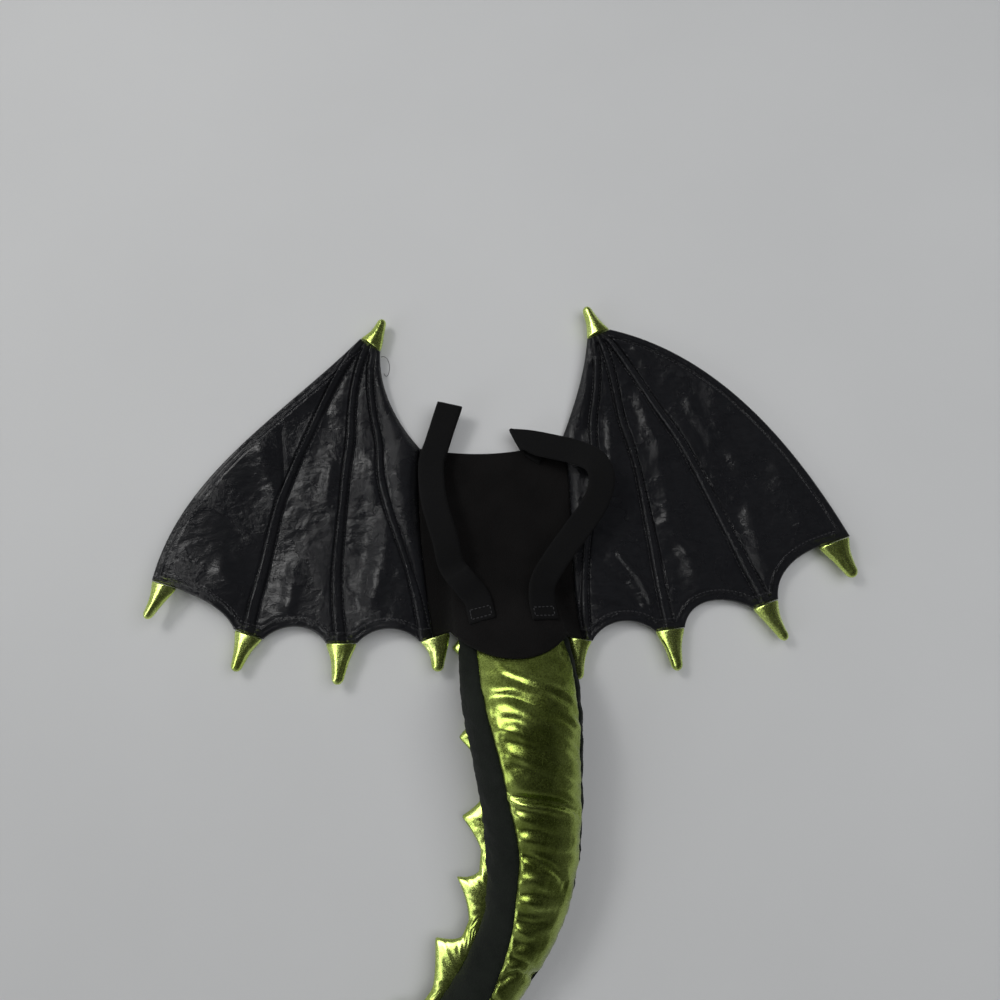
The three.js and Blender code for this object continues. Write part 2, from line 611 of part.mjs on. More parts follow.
// Shares across the wing where a row's columns lie: the ribs keep their width, and the bays share the rest.
// At the lower edge every corner of a seat has its own column.
function wingColumns(plan, ribs, down) {
  const ends = plan.bottom.ends;
  const feet = [ends[1] / 2, (ends[2] + ends[3]) / 2, (ends[4] + ends[5]) / 2];
  const table = [...ribs, { at: 1, inner: feet[0], third: feet[1], second: feet[2] }];
  const ribEdges = (share) => {
    const chord = plan.start.at(share).distanceTo(plan.finish.at(share));
    const width = lerp(chord, plan.bottom.length, share);
    const middles = RIB_NAMES.map((name) => follow(table, name, share));
    const rooms = [Math.min(middles[0] * 1.8, middles[1] - middles[0]), middles[1] - middles[0], middles[2] - middles[1]];
    const halves = rooms.map((room) => Math.min(RIB_WIDTH / 2 / width, room * RIB_CROWDING));
    return [0, ...middles.flatMap((middle, k) => [middle - halves[k], middle + halves[k]]), 1];
  };
  const atFoot = ribEdges(1);
  const edges = ribEdges(down);
  const marks = [[], [ends[1], ends[2]], [ends[3], ends[4]], [ends[5], ends[6]]];
  const columns = [{ at: 0, rib: 0 }];
  marks.forEach((corners, bay) => {
    const [low, high] = [2 * bay, 2 * bay + 1];
    const share = (place) => lerp(edges[low], edges[high],
      (place - atFoot[low]) / (atFoot[high] - atFoot[low]));
    for (let k = 0; corners.length && k <= BAY_COLUMNS; k++)
      columns.push({ at: share(lerp(corners[0], corners[1], k / BAY_COLUMNS)), rib: 0 });
    if (bay === RIB_NAMES.length) columns.push({ at: share((1 + ends[6]) / 2), rib: 0 }, { at: 1, rib: 0 });
    else columns.push({ at: edges[high], rib: 0 },
      { at: (edges[high] + edges[high + 1]) / 2, rib: 1 }, { at: edges[high + 1], rib: 0 });
  });
  return columns;
}

function creaseRise(creases, plan, place) {
  return creases.reduce((rise, row) => {
    const from = patchPoint(plan, row.across, row.down);
    const to = patchPoint(plan, row.toAcross, row.toDown);
    const way = to.clone().sub(from);
    const along = clamp(place.clone().sub(from).dot(way) / way.lengthSq(), 0, 1);
    const away = place.distanceTo(from.addScaledVector(way, along));
    const fade = Math.sin(Math.PI * clamp(along, 0.05, 0.95));
    return rise + row.rise * WING_LIFT * fade * Math.exp(-((away / (row.width * WING_REACH)) ** 2));
  }, 0);
}

function wing(side, plan, corners, edges, ribs, creases) {
  const heights = wingHeights(plan, corners, edges, side);
  const neckShare = plan.start.ends[1];
  const downs = [];
  for (let k = 0; k < NECK_ROWS; k++) downs.push((neckShare * k) / NECK_ROWS);
  for (let k = 0; k <= SEAM_ROWS; k++) downs.push(lerp(neckShare, 1, k / SEAM_ROWS));
  const upper = [];
  const lower = [];
  downs.forEach((down, j) => {
    const columns = wingColumns(plan, ribs, down);
    const inSeam = down >= neckShare - 1e-9;
    const rows = columns.map(({ at, rib }, i) => {
      const place = patchPoint(plan, at, down);
      const edge = i === 0 || i === columns.length - 1 || j === 0 || j === downs.length - 1;
      const sewn = i === 0 && inSeam;
      const thickness = sewn ? PANEL_THICKNESS : edge ? WING_HEM : WING_THICKNESS;
      const crease = edge ? 0 : creaseRise(creases, plan, place);
      const fade = Math.min(1, down * 8);
      const middle = wingMiddle(heights, at, down) + crease;
      if (sewn) place.x += GAP / 2;
      return {
        top: new THREE.Vector3(side * place.x, place.y, middle + thickness / 2 + rib * RIB_RISE * fade),
        under: new THREE.Vector3(side * place.x, place.y, Math.max(middle - thickness / 2, 0)),
      };
    });
    upper.push(rows.map((point) => point.top));
    lower.push(rows.map((point) => point.under));
  });
  return quilt(upper, lower);
}

// A stuffed claw: an oval cone with a round tip, curved from the way its seat faces to the way it points
function claw(side, seat) {
  const { row, facing, along, middle } = seat;
  const start = middle.clone().addScaledVector(facing, GAP);
  const length = row.length * CLAW_LENGTH;
  const tip = start.clone().addScaledVector(facingTo(row.point), length);
  const bend = start.clone().addScaledVector(facing, length * 0.45);
  const line = new THREE.QuadraticBezierCurve(start, bend, tip);
  const half = (row.seat * CLAW_WIDTH) / 2 - GAP;
  const rings = [];
  for (let k = 0; k <= CLAW_RINGS; k++) {
    const share = k / CLAW_RINGS;
    const slim = lerp(1, CLAW_TIP, share ** 0.85);
    const round = share > 0.82 ? Math.sqrt(1 - ((share - 0.82) / 0.19) ** 2) : 1;
    const place = line.getPoint(share);
    const way = line.getTangent(share);
    const across = share === 0 ? along.clone() : new THREE.Vector2(-way.y, way.x);
    const z = lerp(row.lift, row.tip, share) * WING_LIFT;
    const deep = Math.min(lerp(CLAW_DEPTH, CLAW_WIDTH * CLAW_TIP, share) / 2, z) * round;
    const ring = [];
    for (let n = 0; n < CLAW_SIDES; n++) {
      const angle = (n / CLAW_SIDES) * 2 * Math.PI;
      const point = place.clone().addScaledVector(across, Math.cos(angle) * half * slim * round);
      ring.push(new THREE.Vector3(side * point.x, point.y, z + Math.sin(angle) * deep));
    }
    rings.push(ring);
  }
  return skin(rings);
}

// The back panel: padded, flat beside the neck and draped over the tail's root, between the two seams. Its
// lower end runs along its share of both inner seats and round the lobe between them.
function backPanel(leftPlan, rightPlan) {
  const flip = (point) => new THREE.Vector2(-point.x, point.y);
  const start = { at: (share) => flip(leftPlan.seam.getPointAt(share)) };
  const finish = { at: (share) => rightPlan.seam.getPointAt(share) };
  const lobeStart = flip(leftPlan.seats.inner.first);
  const lobeFinish = rightPlan.seats.inner.first;
  const edges = {
    start, finish,
    top: chain([bow(start.at(0), finish.at(0), NECK_DIP)]),
    bottom: chain([
      new THREE.LineCurve(start.at(1), lobeStart),
      bow(lobeStart, lobeFinish, LOBE),
      new THREE.LineCurve(lobeFinish, finish.at(1)),
    ]),
  };
  const [, from, to] = edges.bottom.ends;
  const columns = [0, from / 2];
  for (let i = 0; i <= PANEL_COLUMNS; i++) columns.push(lerp(from, to, i / PANEL_COLUMNS));
  columns.push((to + 1) / 2, 1);
  const upper = [];
  const lower = [];
  for (let j = 0; j <= SEAM_ROWS; j++) {
    const places = columns.map((across) => patchPoint(edges, across, j / SEAM_ROWS));
    const heights = places.map((place) => panelHeight(place.x, place.y));
    places[0].x += GAP / 2;
    places.at(-1).x -= GAP / 2;
    upper.push(places.map(({ x, y }, i) => new THREE.Vector3(x, y, heights[i] + PANEL_THICKNESS / 2)));
    lower.push(places.map(({ x, y }, i) => new THREE.Vector3(x, y, Math.max(heights[i] - PANEL_THICKNESS / 2, 0))));
  }
  return cutBy(quilt(upper, lower), tailSpace(TAIL_EASE));
}

// Sections of a strap where it turns over on itself, round a small roll along the line of the fold
function foldSections(from, headingIn, headingOut) {
  const line = (headingIn + headingOut) / 2;
  const slant = degToRad(headingIn - line);
  const fold = directionTo(line);
  const across = directionTo(line + 90);
  const sections = [];
  for (let k = 1; k < 8; k++) {
    const angle = (k / 8) * Math.PI;
    const roll = (amount, sideways, height) => new THREE.Vector3(
      fold.x * amount + across.x * sideways, fold.y * amount + across.y * sideways, height);
    const place = roll((FOLD_RADIUS * angle) / Math.tan(slant), FOLD_RADIUS * Math.sin(angle),
      FOLD_RADIUS * (1 - Math.cos(angle))).add(from);
    const wide = roll(Math.sin(slant), -Math.cos(slant) * Math.cos(angle), -Math.cos(slant) * Math.sin(angle));
    sections.push({ place, wide });
  }
  return sections;
}

function strapRun(rows, side, count) {
  const keyed = rows.map((row, k) => ({
    at: k / (rows.length - 1),
    x: row.across * PANEL_WIDTH,
    y: row.up * PANEL_HEIGHT,
    rise: row.rise * STRAP_RISE,
    heading: row.heading,
    lean: row.lean ?? 0,
  }));
  const sections = [];
  for (let k = 0; k <= count; k++) {
    const at = k / count;
    const plan = new THREE.Vector2(follow(keyed, "x", at), follow(keyed, "y", at));
    const turned = directionTo(follow(keyed, "heading", at) + side * 90);
    const rise = Math.max(0, follow(keyed, "rise", at));
    // The strap lies on what is under it and takes its slope across, the less the higher it arches
    const below = [-1, -0.5, 0, 0.5, 1].map((end) => {
      const point = plan.clone().addScaledVector(turned, (end * STRAP_WIDTH) / 2);
      return { away: (end * STRAP_WIDTH) / 2, z: panelHeight(point.x, point.y) };
    });
    const slope = ((below[4].z - below[0].z) / STRAP_WIDTH) * Math.max(0, 1 - rise / STRAP_RISE);
    const floor = Math.max(...below.map(({ away, z }) => z - slope * away));
    const place = new THREE.Vector3(plan.x, plan.y,
      floor + (PANEL_THICKNESS + STRAP_THICKNESS) / 2 * Math.hypot(1, slope) + STRAP_EASE + rise);
    const wide = new THREE.Vector3(turned.x, turned.y, slope).normalize();
    sections.push({ place, wide, lean: side * degToRad(follow(keyed, "lean", at)) });
  }
  return sections;
}

function strap({ sewn, run }) {
  const first = strapRun(sewn, -1, 5);
  const { heading, lean = 0 } = sewn.at(-1);
  const fold = foldSections(first.at(-1).place, heading + lean, run[0].heading + lean);
  const rest = strapRun(run, 1, 26);
  // The run starts where the fold ends, and takes up its own line over its first sections
  const shift = fold.at(-1).place.clone().sub(rest[0].place);
  rest.forEach((section, k) => section.place.addScaledVector(shift, Math.max(0, 1 - k / 6)));
  const sections = [...first, ...fold, ...rest.slice(1)];
  const rings = sections.map(({ place, wide, lean }, k) => {
    const before = sections[Math.max(k - 1, 0)].place;
    const after = sections[Math.min(k + 1, sections.length - 1)].place;
    const way = after.clone().sub(before).normalize();
    const folded = lean === undefined;
    const across = wide.clone().addScaledVector(way, folded ? 0 : -wide.dot(way)).normalize();
    const through = way.clone().cross(across).normalize();
    if (!folded) across.applyAxisAngle(through, lean);
    through.multiplyScalar(STRAP_THICKNESS / 2);
    across.multiplyScalar(STRAP_WIDTH / 2);
    return [[1, 1], [-1, 1], [-1, -1], [1, -1]].map(([a, b]) =>
      place.clone().addScaledVector(across, a).addScaledVector(through, b));
  });
  return skin(rings);
}

const costume = new THREE.Group();
function add(name, geometry, finish) {
  const mesh = new THREE.Mesh(geometry, new THREE.MeshStandardMaterial(COLOURS[finish]));
  mesh.name = name;
  costume.add(mesh);
}

const leftPlan = wingPlan(LEFT_CORNERS, LEFT_EDGES, LEFT_FOOT);
const rightPlan = wingPlan(RIGHT_CORNERS, RIGHT_EDGES, RIGHT_FOOT);
add("back_panel", backPanel(leftPlan, rightPlan), "knit");
add("wing_left", wing(-1, leftPlan, LEFT_CORNERS, LEFT_EDGES, LEFT_RIBS, LEFT_CREASES), "vinyl");
add("wing_right", wing(1, rightPlan, RIGHT_CORNERS, RIGHT_EDGES, RIGHT_RIBS, RIGHT_CREASES), "vinyl");
Object.values(leftPlan.seats).forEach((seat) => add(`claw_left_${seat.row.name}`, claw(-1, seat), "foil"));
Object.values(rightPlan.seats).forEach((seat) => add(`claw_right_${seat.row.name}`, claw(1, seat), "foil"));
add("strap_left", strap(LEFT_STRAP), "webbing");
add("strap_right", strap(RIGHT_STRAP), "webbing");
add("tail_belly", tailPanel((s) => s.right, (s) => s.left, 12), "foil");
add("tail_side_left", tailPanel((s) => s.left, (s) => s.ridge, 9), "plush");
add("tail_side_right", tailPanel((s) => s.ridge, (s) => s.right + 360, 10), "plush");
add("tail_ridge", ridge(), "foil");

// The part's own origin is the middle of its footprint, on the surface that it lies on
const box = new THREE.Box3().setFromObject(costume);
const middle = box.getCenter(new THREE.Vector3());
costume.position.set(-middle.x, -middle.y, -box.min.z);

export default costume;
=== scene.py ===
"""Looks of the dragon wings costume. Shapes are worked out in millimetres with the middle of the panel's
seam feet as origin, as the solids are, and are moved into the frame when a mesh is made."""
import json
import math
from itertools import product

import bpy
import numpy as np
from mathutils import Matrix, Vector

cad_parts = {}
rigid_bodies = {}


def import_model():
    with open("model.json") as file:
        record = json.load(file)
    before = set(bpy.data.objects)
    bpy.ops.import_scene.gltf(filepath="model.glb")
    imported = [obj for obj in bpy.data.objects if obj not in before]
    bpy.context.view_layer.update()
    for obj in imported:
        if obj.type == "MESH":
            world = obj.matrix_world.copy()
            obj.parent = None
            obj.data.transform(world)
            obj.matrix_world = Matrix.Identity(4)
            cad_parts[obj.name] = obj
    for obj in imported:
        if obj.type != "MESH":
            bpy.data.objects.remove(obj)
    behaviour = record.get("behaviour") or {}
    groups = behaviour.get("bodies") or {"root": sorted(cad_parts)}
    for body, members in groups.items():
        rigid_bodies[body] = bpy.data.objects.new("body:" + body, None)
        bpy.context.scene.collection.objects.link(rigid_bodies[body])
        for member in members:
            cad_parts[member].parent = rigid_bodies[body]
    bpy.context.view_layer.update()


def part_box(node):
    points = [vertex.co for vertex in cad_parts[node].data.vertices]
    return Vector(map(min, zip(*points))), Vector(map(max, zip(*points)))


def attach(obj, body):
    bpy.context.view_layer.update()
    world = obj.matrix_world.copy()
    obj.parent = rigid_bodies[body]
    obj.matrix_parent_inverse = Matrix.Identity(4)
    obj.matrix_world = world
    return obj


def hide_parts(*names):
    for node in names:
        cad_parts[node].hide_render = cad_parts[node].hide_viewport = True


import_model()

MM = 0.001
GAP = 0.3

# Sizes and tables, as in the solids: millimetres and degrees
PANEL_WIDTH = 143
PANEL_HEIGHT = 184
PANEL_THICKNESS = 5
PANEL_LIFT = PANEL_THICKNESS / 2
NECK_DIP = (14, 17)
LOBE = (40, 50)
WING_REACH = 250
WING_HEIGHT = 294
WING_THICKNESS = 5
WING_LIFT = 20
RIB_WIDTH = 11
RIB_RISE = 3.5
RIB_CROWDING = 0.42
CLAW_WIDTH = 30
CLAW_DEPTH = 15
CLAW_LENGTH = 38
STRAP_WIDTH = 25
STRAP_THICKNESS = 1.6
STRAP_RISE = 20
STRAP_EASE = 0.9
FOLD_RADIUS = 2.6
TAIL_LENGTH = 610
TAIL_WIDTH = 105
TAIL_DEPTH = 78
TAIL_ROOT = 49.5
TAIL_FLATTENED = 0.06
ROOT_EASE = 4
DRAPE_EASE = 5
SPIKE_HEIGHT = 20
SPIKE_BASE = 56
RIDGE_STRIP = 11
RIDGE_THICKNESS = 9


def rows(columns, *table):
    """A table as a list of rows that are read by the names of their columns."""
    return [dict(zip(columns.split(), row)) for row in table]


# Corners of the wings' plans, each with its claw. out and up are shares of WING_REACH and WING_HEIGHT
CORNER = "name out up facing seat length point lift tip"
LEFT_CORNERS = rows(CORNER,
                    ("inner", -0.027, -0.01, -13, 1, 0.84, -1, 0.55, 0.58),
                    ("third", 0.324, -0.01, 4, 1, 1, 8, 0.6, 0.64),
                    ("second", 0.674, 0.038, 22, 0.96, 0.94, 21, 0.5, 0.56),
                    ("outer", 0.983, 0.213, 21, 0.84, 0.93, 29, 0.9, 0.9),
                    ("top", 0.181, 1.004, -142, 0.84, 0.8, -153, 0.5, 0.52))
RIGHT_CORNERS = rows(CORNER,
                     ("inner", -0.004, -0.046, -13, 0.86, 0.98, -4, 0.55, 0.58),
                     ("third", 0.343, -0.035, 2, 0.96, 1.02, 5, 0.45, 0.52),
                     ("second", 0.717, 0.025, 15, 0.88, 1, 23, 0.45, 0.52),
                     ("outer", 1.011, 0.21, 15, 1.1, 0.99, 23, 0.6, 0.6),
                     ("top", 0.185, 0.992, -160, 0.86, 0.86, -161, 0.5, 0.5))
# Where the seam to the panel ends, as a share of the inner claw's seat
LEFT_FOOT = 0.6
RIGHT_FOOT = 0.7
# The edge after each corner: how far it bulges where it leaves and arrives, and the lift of its middle
LEFT_EDGES = {"inner": (-46, -46, 0.75), "third": (-50, -46, 0.5), "second": (-30, -12, 0.9),
              "outer": (28, 5, 0.55), "top": (-24, -20, 0.4), "neck": (-8, -4, 0)}
RIGHT_EDGES = {"inner": (-50, -46, 0.6), "third": (-62, -44, 0.4), "second": (-42, -30, 0.5),
               "outer": (20, 30, 0.5), "top": (-10, -6, 0.4), "neck": (-8, 10, 0)}
# The ribs' places across the wing, as shares of its width, by the share of the way down
RIB = "at inner third second"
LEFT_RIBS = rows(RIB, (0, 0.28, 0.58, 0.86), (0.2, 0.25, 0.5, 0.79),
                 (0.4, 0.25, 0.45, 0.73), (0.6, 0.15, 0.375, 0.68), (0.8, 0.05, 0.345, 0.635))
RIGHT_RIBS = rows(RIB, (0, 0.24, 0.41, 0.6), (0.2, 0.205, 0.39, 0.6),
                  (0.4, 0.17, 0.375, 0.62), (0.6, 0.1, 0.335, 0.617), (0.8, 0.045, 0.312, 0.622))
# A strap's course: its sewn layer up to the fold, then the run back down
BAND = "across up rise heading lean"
LEFT_STRAP = {
    "sewn": rows(BAND, (-0.41, 0.93, 0, 68, 0), (-0.36, 1.04, 0.18, 68, 0),
                 (-0.275, 1.2, 0.42, 71, 0)),
    "run": rows(BAND, (-0.29, 1.18, 0.6, -104, 0), (-0.375, 1.0, 0.45, -112, 0),
                (-0.42, 0.89, 0.5, -100, 0), (-0.41, 0.69, 0.95, -84, 0), (-0.345, 0.47, 1.0, -77, 0),
                (-0.315, 0.34, 0.75, -72, 0), (-0.235, 0.245, 0.5, -56, 0), (-0.16, 0.16, 0.14, -62, 0),
                (-0.13, 0.045, 0, -80, 0))}
RIGHT_STRAP = {
    "sewn": rows(BAND, (0.37, 0.925, 0, 150, 0), (0.27, 0.97, 0.1, 158, 16),
                 (0.185, 1.0, 0.22, 160, 44)),
    "run": rows(BAND, (0.185, 1.0, 0.55, -20, 44), (0.37, 0.95, 0.7, -18, 0),
                (0.56, 0.898, 0.85, -24, 0), (0.69, 0.83, 1.1, -58, 0), (0.725, 0.725, 1.2, -92, 0),
                (0.66, 0.6, 1.15, -123, 0), (0.52, 0.465, 1.0, -132, 0), (0.38, 0.335, 0.75, -126, 0),
                (0.285, 0.225, 0.45, -104, 0), (0.265, 0.135, 0.14, -86, 0), (0.275, 0.03, 0, -82, 0))}
# Sections of the tail by the share of its length. left, right and ridge are the seams' places round it
TAIL_SECTIONS = rows(
    "at heading width depth left right ridge",
    (0, -5, 0.8, 0.1, 133, 20, 238), (0.04, -6, 0.86, 0.23, 133, 20, 238),
    (0.08, -8, 0.9, 0.41, 133, 20, 238),
    (0.115, -7, 0.96, 0.6, 133, 20, 237), (0.165, -4, 1.0, 0.86, 131, 20, 235),
    (0.215, -3, 0.98, 1.0, 127, 20, 233), (0.26, -2, 0.92, 1.0, 123, 18, 230),
    (0.325, 0, 0.84, 0.92, 118, 13, 222), (0.39, 6, 0.77, 0.85, 109.5, 11, 210),
    (0.455, 15, 0.68, 0.76, 109.5, 9, 200),
    (0.505, 27, 0.6, 0.67, 103, 7, 192), (0.55, 35, 0.55, 0.61, 94, 5, 188), (0.6, 41, 0.5, 0.56, 80, 3, 184),
    (0.705, 51, 0.42, 0.47, 64, -3, 180), (0.82, 63, 0.31, 0.35, 58, -8, 180),
    (0.92, 74, 0.18, 0.21, 60, -14, 180),
    (1, 82, 0.05, 0.06, 60, -16, 180))
SPIKES = rows("at size", (0.096, 0.95), (0.238, 0.95), (0.36, 0.9), (0.478, 1), (0.597, 1), (0.706, 0.8),
              (0.806, 0.65), (0.893, 0.48))


def joined(*columns):
    """Arrays of x, of y and so on as one array of points."""
    return np.stack(columns, axis=-1)


def unit_rows(vectors):
    return vectors / np.linalg.norm(vectors, axis=1)[:, None]


def bell(x, middle, width):
    return np.exp(-((x - middle) / width) ** 2)


def quarter(distance, radius):
    """Rise from 0 to 1 along a quarter circle that starts at an edge."""
    return np.sqrt(np.clip(1 - (1 - np.clip(distance / radius, 0, 1)) ** 2, 0, 1))


def smoothstep(x, low, high):
    t = np.clip((np.asarray(x, float) - low) / (high - low), 0, 1)
    return t * t * (3 - 2 * t)


def unit(degrees):
    return np.array([math.cos(math.radians(degrees)), math.sin(math.radians(degrees))])


def facing_to(degrees):
    """A direction in plan, counted from straight down."""
    return np.array([math.sin(math.radians(degrees)), -math.cos(math.radians(degrees))])


def turn(v, degrees):
    c, s = math.cos(math.radians(degrees)), math.sin(math.radians(degrees))
    return np.array([v[0] * c - v[1] * s, v[0] * s + v[1] * c])


def follow(table, column, at):
    """A column's value at places along a table, on a smooth curve through its rows."""
    ats = np.array([row["at"] for row in table], float)
    values = np.array([row[column] for row in table], float)
    last = len(ats) - 1
    before = np.maximum(np.arange(last + 1) - 1, 0)
    after = np.minimum(np.arange(last + 1) + 1, last)
    slopes = (values[after] - values[before]) / (ats[after] - ats[before])
    at = np.asarray(at, float)
    k = np.clip(np.searchsorted(ats, at, side="right") - 1, 0, last - 1)
    span = ats[k + 1] - ats[k]
    t = np.clip((at - ats[k]) / span, 0, 1)
    rise = values[k + 1] - values[k]
    bend = t * (1 - t)
    turns = (1 - t) * (slopes[k] * span - rise) - t * (slopes[k + 1] * span - rise)
    return values[k] + rise * t + bend * turns


def bow(a, b, leave, arrive, count=160):
    """Points of a curve from a to b that leaves and arrives at these angles to the straight line."""
    chord = b - a
    length = np.linalg.norm(chord)
    way = chord / length

    def arm(degrees):
        return length / (3 * math.cos(math.radians(degrees) / 2) ** 2)

    p1 = a + turn(way, -leave) * arm(leave)
    p2 = b - turn(way, arrive) * arm(arrive)
    t = np.linspace(0, 1, count + 1)[:, None]
    return (1 - t) ** 3 * a + 3 * (1 - t) ** 2 * t * p1 + 3 * (1 - t) * t ** 2 * p2 + t ** 3 * b


def straight(a, b):
    return np.array([a, b])


class Path:
    """Curves end to end, read by the share of their whole length."""

    def __init__(self, *curves):
        lengths = [np.linalg.norm(np.diff(curve, axis=0), axis=1).sum() for curve in curves]
        self.length = sum(lengths)
        self.ends = [0] + list(np.cumsum(lengths) / self.length)
        points = np.concatenate([curves[0]] + [curve[1:] for curve in curves[1:]])
        steps = np.linalg.norm(np.diff(points, axis=0), axis=1)
        self.shares = np.concatenate([[0], np.cumsum(steps)]) / steps.sum()
        self.points = points

    def at(self, share):
        return joined(*(np.interp(share, self.shares, column) for column in self.points.T))


def patch(edges, across, down):
    """Points inside a four-sided patch from its edges: a Coons patch. across and down are arrays."""
    top, bottom, start, finish = edges
    a, d = across[..., None], down[..., None]
    corners = (top.at(0.0) * (1 - a) * (1 - d) + top.at(1.0) * a * (1 - d)
               + bottom.at(0.0) * (1 - a) * d + bottom.at(1.0) * a * d)
    rails = top.at(across) * (1 - d) + bottom.at(across) * d
    return rails + start.at(down) * (1 - a) + finish.at(down) * a - corners


HASH_FACTORS = (374761393, 668265263, 2246822519)
HASH_SEED = (974711, 13)
HASH_MIXERS = ((13, 1274126177), (15, 2246822519))
HASH_LIMIT = 2 ** 32


def lattice(corner, seed):
    """A number from 0 to 1 for each whole-numbered corner, as if drawn at random."""
    mask = np.uint64(HASH_LIMIT - 1)
    n = np.uint64(seed * HASH_SEED[0] + HASH_SEED[1])
    for k, factor in enumerate(HASH_FACTORS):
        n = n + corner[..., k].astype(np.int64).astype(np.uint64) * np.uint64(factor)
    n = n & mask
    for shift, factor in HASH_MIXERS:
        n = ((n ^ (n >> np.uint64(shift))) * np.uint64(factor)) & mask
    return ((n ^ (n >> np.uint64(16))) & mask).astype(float) / HASH_LIMIT


def noise(points, seed=0):
    """Gradient noise from -1 to 1 at an array of points."""
    cell = np.floor(points)
    f = points - cell
    u = f * f * f * (f * (f * 6 - 15) + 10)
    total = np.zeros(points.shape[:-1])
    for step in product((0, 1), repeat=3):
        offset = np.array(step)
        angle = lattice(cell + offset, seed) * 2 * math.pi
        height = lattice(cell + offset, seed + 71) * 2 - 1
        ring = np.sqrt(np.maximum(0, 1 - height * height))
        gradient = joined(ring * np.cos(angle), ring * np.sin(angle), height)
        weight = np.prod(np.where(offset == 1, u, 1 - u), axis=-1)
        total += weight * (gradient * (f - offset)).sum(axis=-1)
    return total * 1.5


def fractal(points, seed=0, octaves=3):
    """Noise in several sizes, each half as large as the one before."""
    total = np.zeros(points.shape[:-1])
    size = 1.0
    for k in range(octaves):
        total += size * noise(points / size, seed + k)
        size *= 0.5
    return total


def distance_to(points, line):
    """Distance from plan points to a polyline, and how far along it the nearest place is, in millimetres."""
    flat = points.reshape(-1, 2)
    best = np.full(len(flat), 1e9)
    along = np.zeros(len(flat))
    run = 0.0
    for a, b in zip(line[:-1], line[1:]):
        way = b - a
        length = np.linalg.norm(way)
        if length < 1e-9:
            continue
        t = np.clip(((flat - a) @ way) / length ** 2, 0, 1)
        away = np.linalg.norm(flat - a - t[:, None] * way, axis=1)
        closer = away < best
        best = np.where(closer, away, best)
        along = np.where(closer, run + t * length, along)
        run += length
    return best.reshape(points.shape[:-1]), along.reshape(points.shape[:-1])


def thin(line, count):
    """A polyline with fewer points."""
    return Path(line).at(np.linspace(0, 1, count))


def tail_line(distances):
    """Places on the tail's middle line in plan at distances from its root, and the direction across it."""
    step = TAIL_LENGTH / 1200
    s = np.arange(0, TAIL_LENGTH + step, step)
    heading = np.radians(follow(TAIL_SECTIONS, "heading", np.clip((s + step / 2) / TAIL_LENGTH, 0, 1)))
    x = np.concatenate([[0], np.cumsum(-np.sin(heading) * step)])
    y = TAIL_ROOT + np.concatenate([[0], np.cumsum(-np.cos(heading) * step)])
    grid = np.concatenate([s, [s[-1] + step]])
    place = joined(np.interp(distances, grid, x), np.interp(distances, grid, y))
    now = np.radians(follow(TAIL_SECTIONS, "heading", np.clip(distances / TAIL_LENGTH, 0, 1)))
    return place, joined(np.cos(now), -np.sin(now))


def tail_sizes(distances):
    at = np.clip(np.asarray(distances, float) / TAIL_LENGTH, 0, 1)
    value = {key: follow(TAIL_SECTIONS, key, at) for key in ("width", "depth", "left", "right", "ridge")}
    return {"half_width": TAIL_WIDTH * value["width"] / 2, "half_depth": TAIL_DEPTH * value["depth"] / 2,
            "left": value["left"], "right": value["right"], "ridge": value["ridge"], "at": at}


def root_top(xy):
    """Height of the tail's upper side under the panel. Beyond the tail it falls away steeply."""
    distance = TAIL_ROOT - xy[..., 1]
    sizes = tail_sizes(np.maximum(distance, 0))
    place, _ = tail_line(np.maximum(distance, 0))
    reach = sizes["half_width"] + ROOT_EASE
    aside = np.abs(xy[..., 0] - place[..., 0])
    inside = np.sqrt(np.maximum(0, 1 - (aside / reach) ** 2))
    top = sizes["half_depth"] * (1 - TAIL_FLATTENED + inside)
    return top - np.maximum(0, aside - reach) * 1.2 - np.maximum(0, -distance) * 0.7


def panel_height(xy):
    """Height of the panel's middle layer, which lies on the floor or over the tail's root."""
    rise = root_top(xy) + PANEL_THICKNESS / 2 + GAP - PANEL_LIFT
    eased = (rise + DRAPE_EASE) ** 2 / (4 * DRAPE_EASE)
    return PANEL_LIFT + np.where(rise < -DRAPE_EASE, 0, np.where(rise > DRAPE_EASE, rise, eased))


class Plan:
    """A wing's plan, as for a right-hand wing."""

    def __init__(self, corners, edges, foot_share):
        self.seats = {}
        for row in corners:
            facing = facing_to(row["facing"])
            along = np.array([-facing[1], facing[0]])
            middle = np.array([PANEL_WIDTH / 2 + row["out"] * WING_REACH, row["up"] * WING_HEIGHT])
            half = row["seat"] * CLAW_WIDTH / 2
            self.seats[row["name"]] = {"row": row, "facing": facing, "along": along, "middle": middle,
                                       "first": middle - along * half, "last": middle + along * half}
        seat = self.seats
        inner, third, second, outer, top = (seat[n] for n in ("inner", "third", "second", "outer", "top"))
        self.foot = inner["first"] + (inner["last"] - inner["first"]) * foot_share
        self.neck = np.array([PANEL_WIDTH / 2, PANEL_HEIGHT], float)
        self.bottom = Path(
            straight(self.foot, inner["last"]), bow(inner["last"], third["first"], *edges["inner"][:2]),
            straight(third["first"], third["last"]), bow(third["last"], second["first"], *edges["third"][:2]),
            straight(second["first"], second["last"]),
            bow(second["last"], outer["first"], *edges["second"][:2]),
            straight(outer["first"], outer["last"]))
        seam = bow(self.neck, self.foot, *edges["neck"][:2])
        self.seam = Path(seam)
        self.inner_edge = bow(top["last"], self.neck, *edges["top"][:2])
        self.start = Path(self.inner_edge, seam)
        self.leading = bow(outer["last"], top["first"], *edges["outer"][:2])
        self.finish = Path(self.leading[::-1])
        self.top = Path(straight(top["last"], top["first"]))
        self.edges = (self.top, self.bottom, self.start, self.finish)


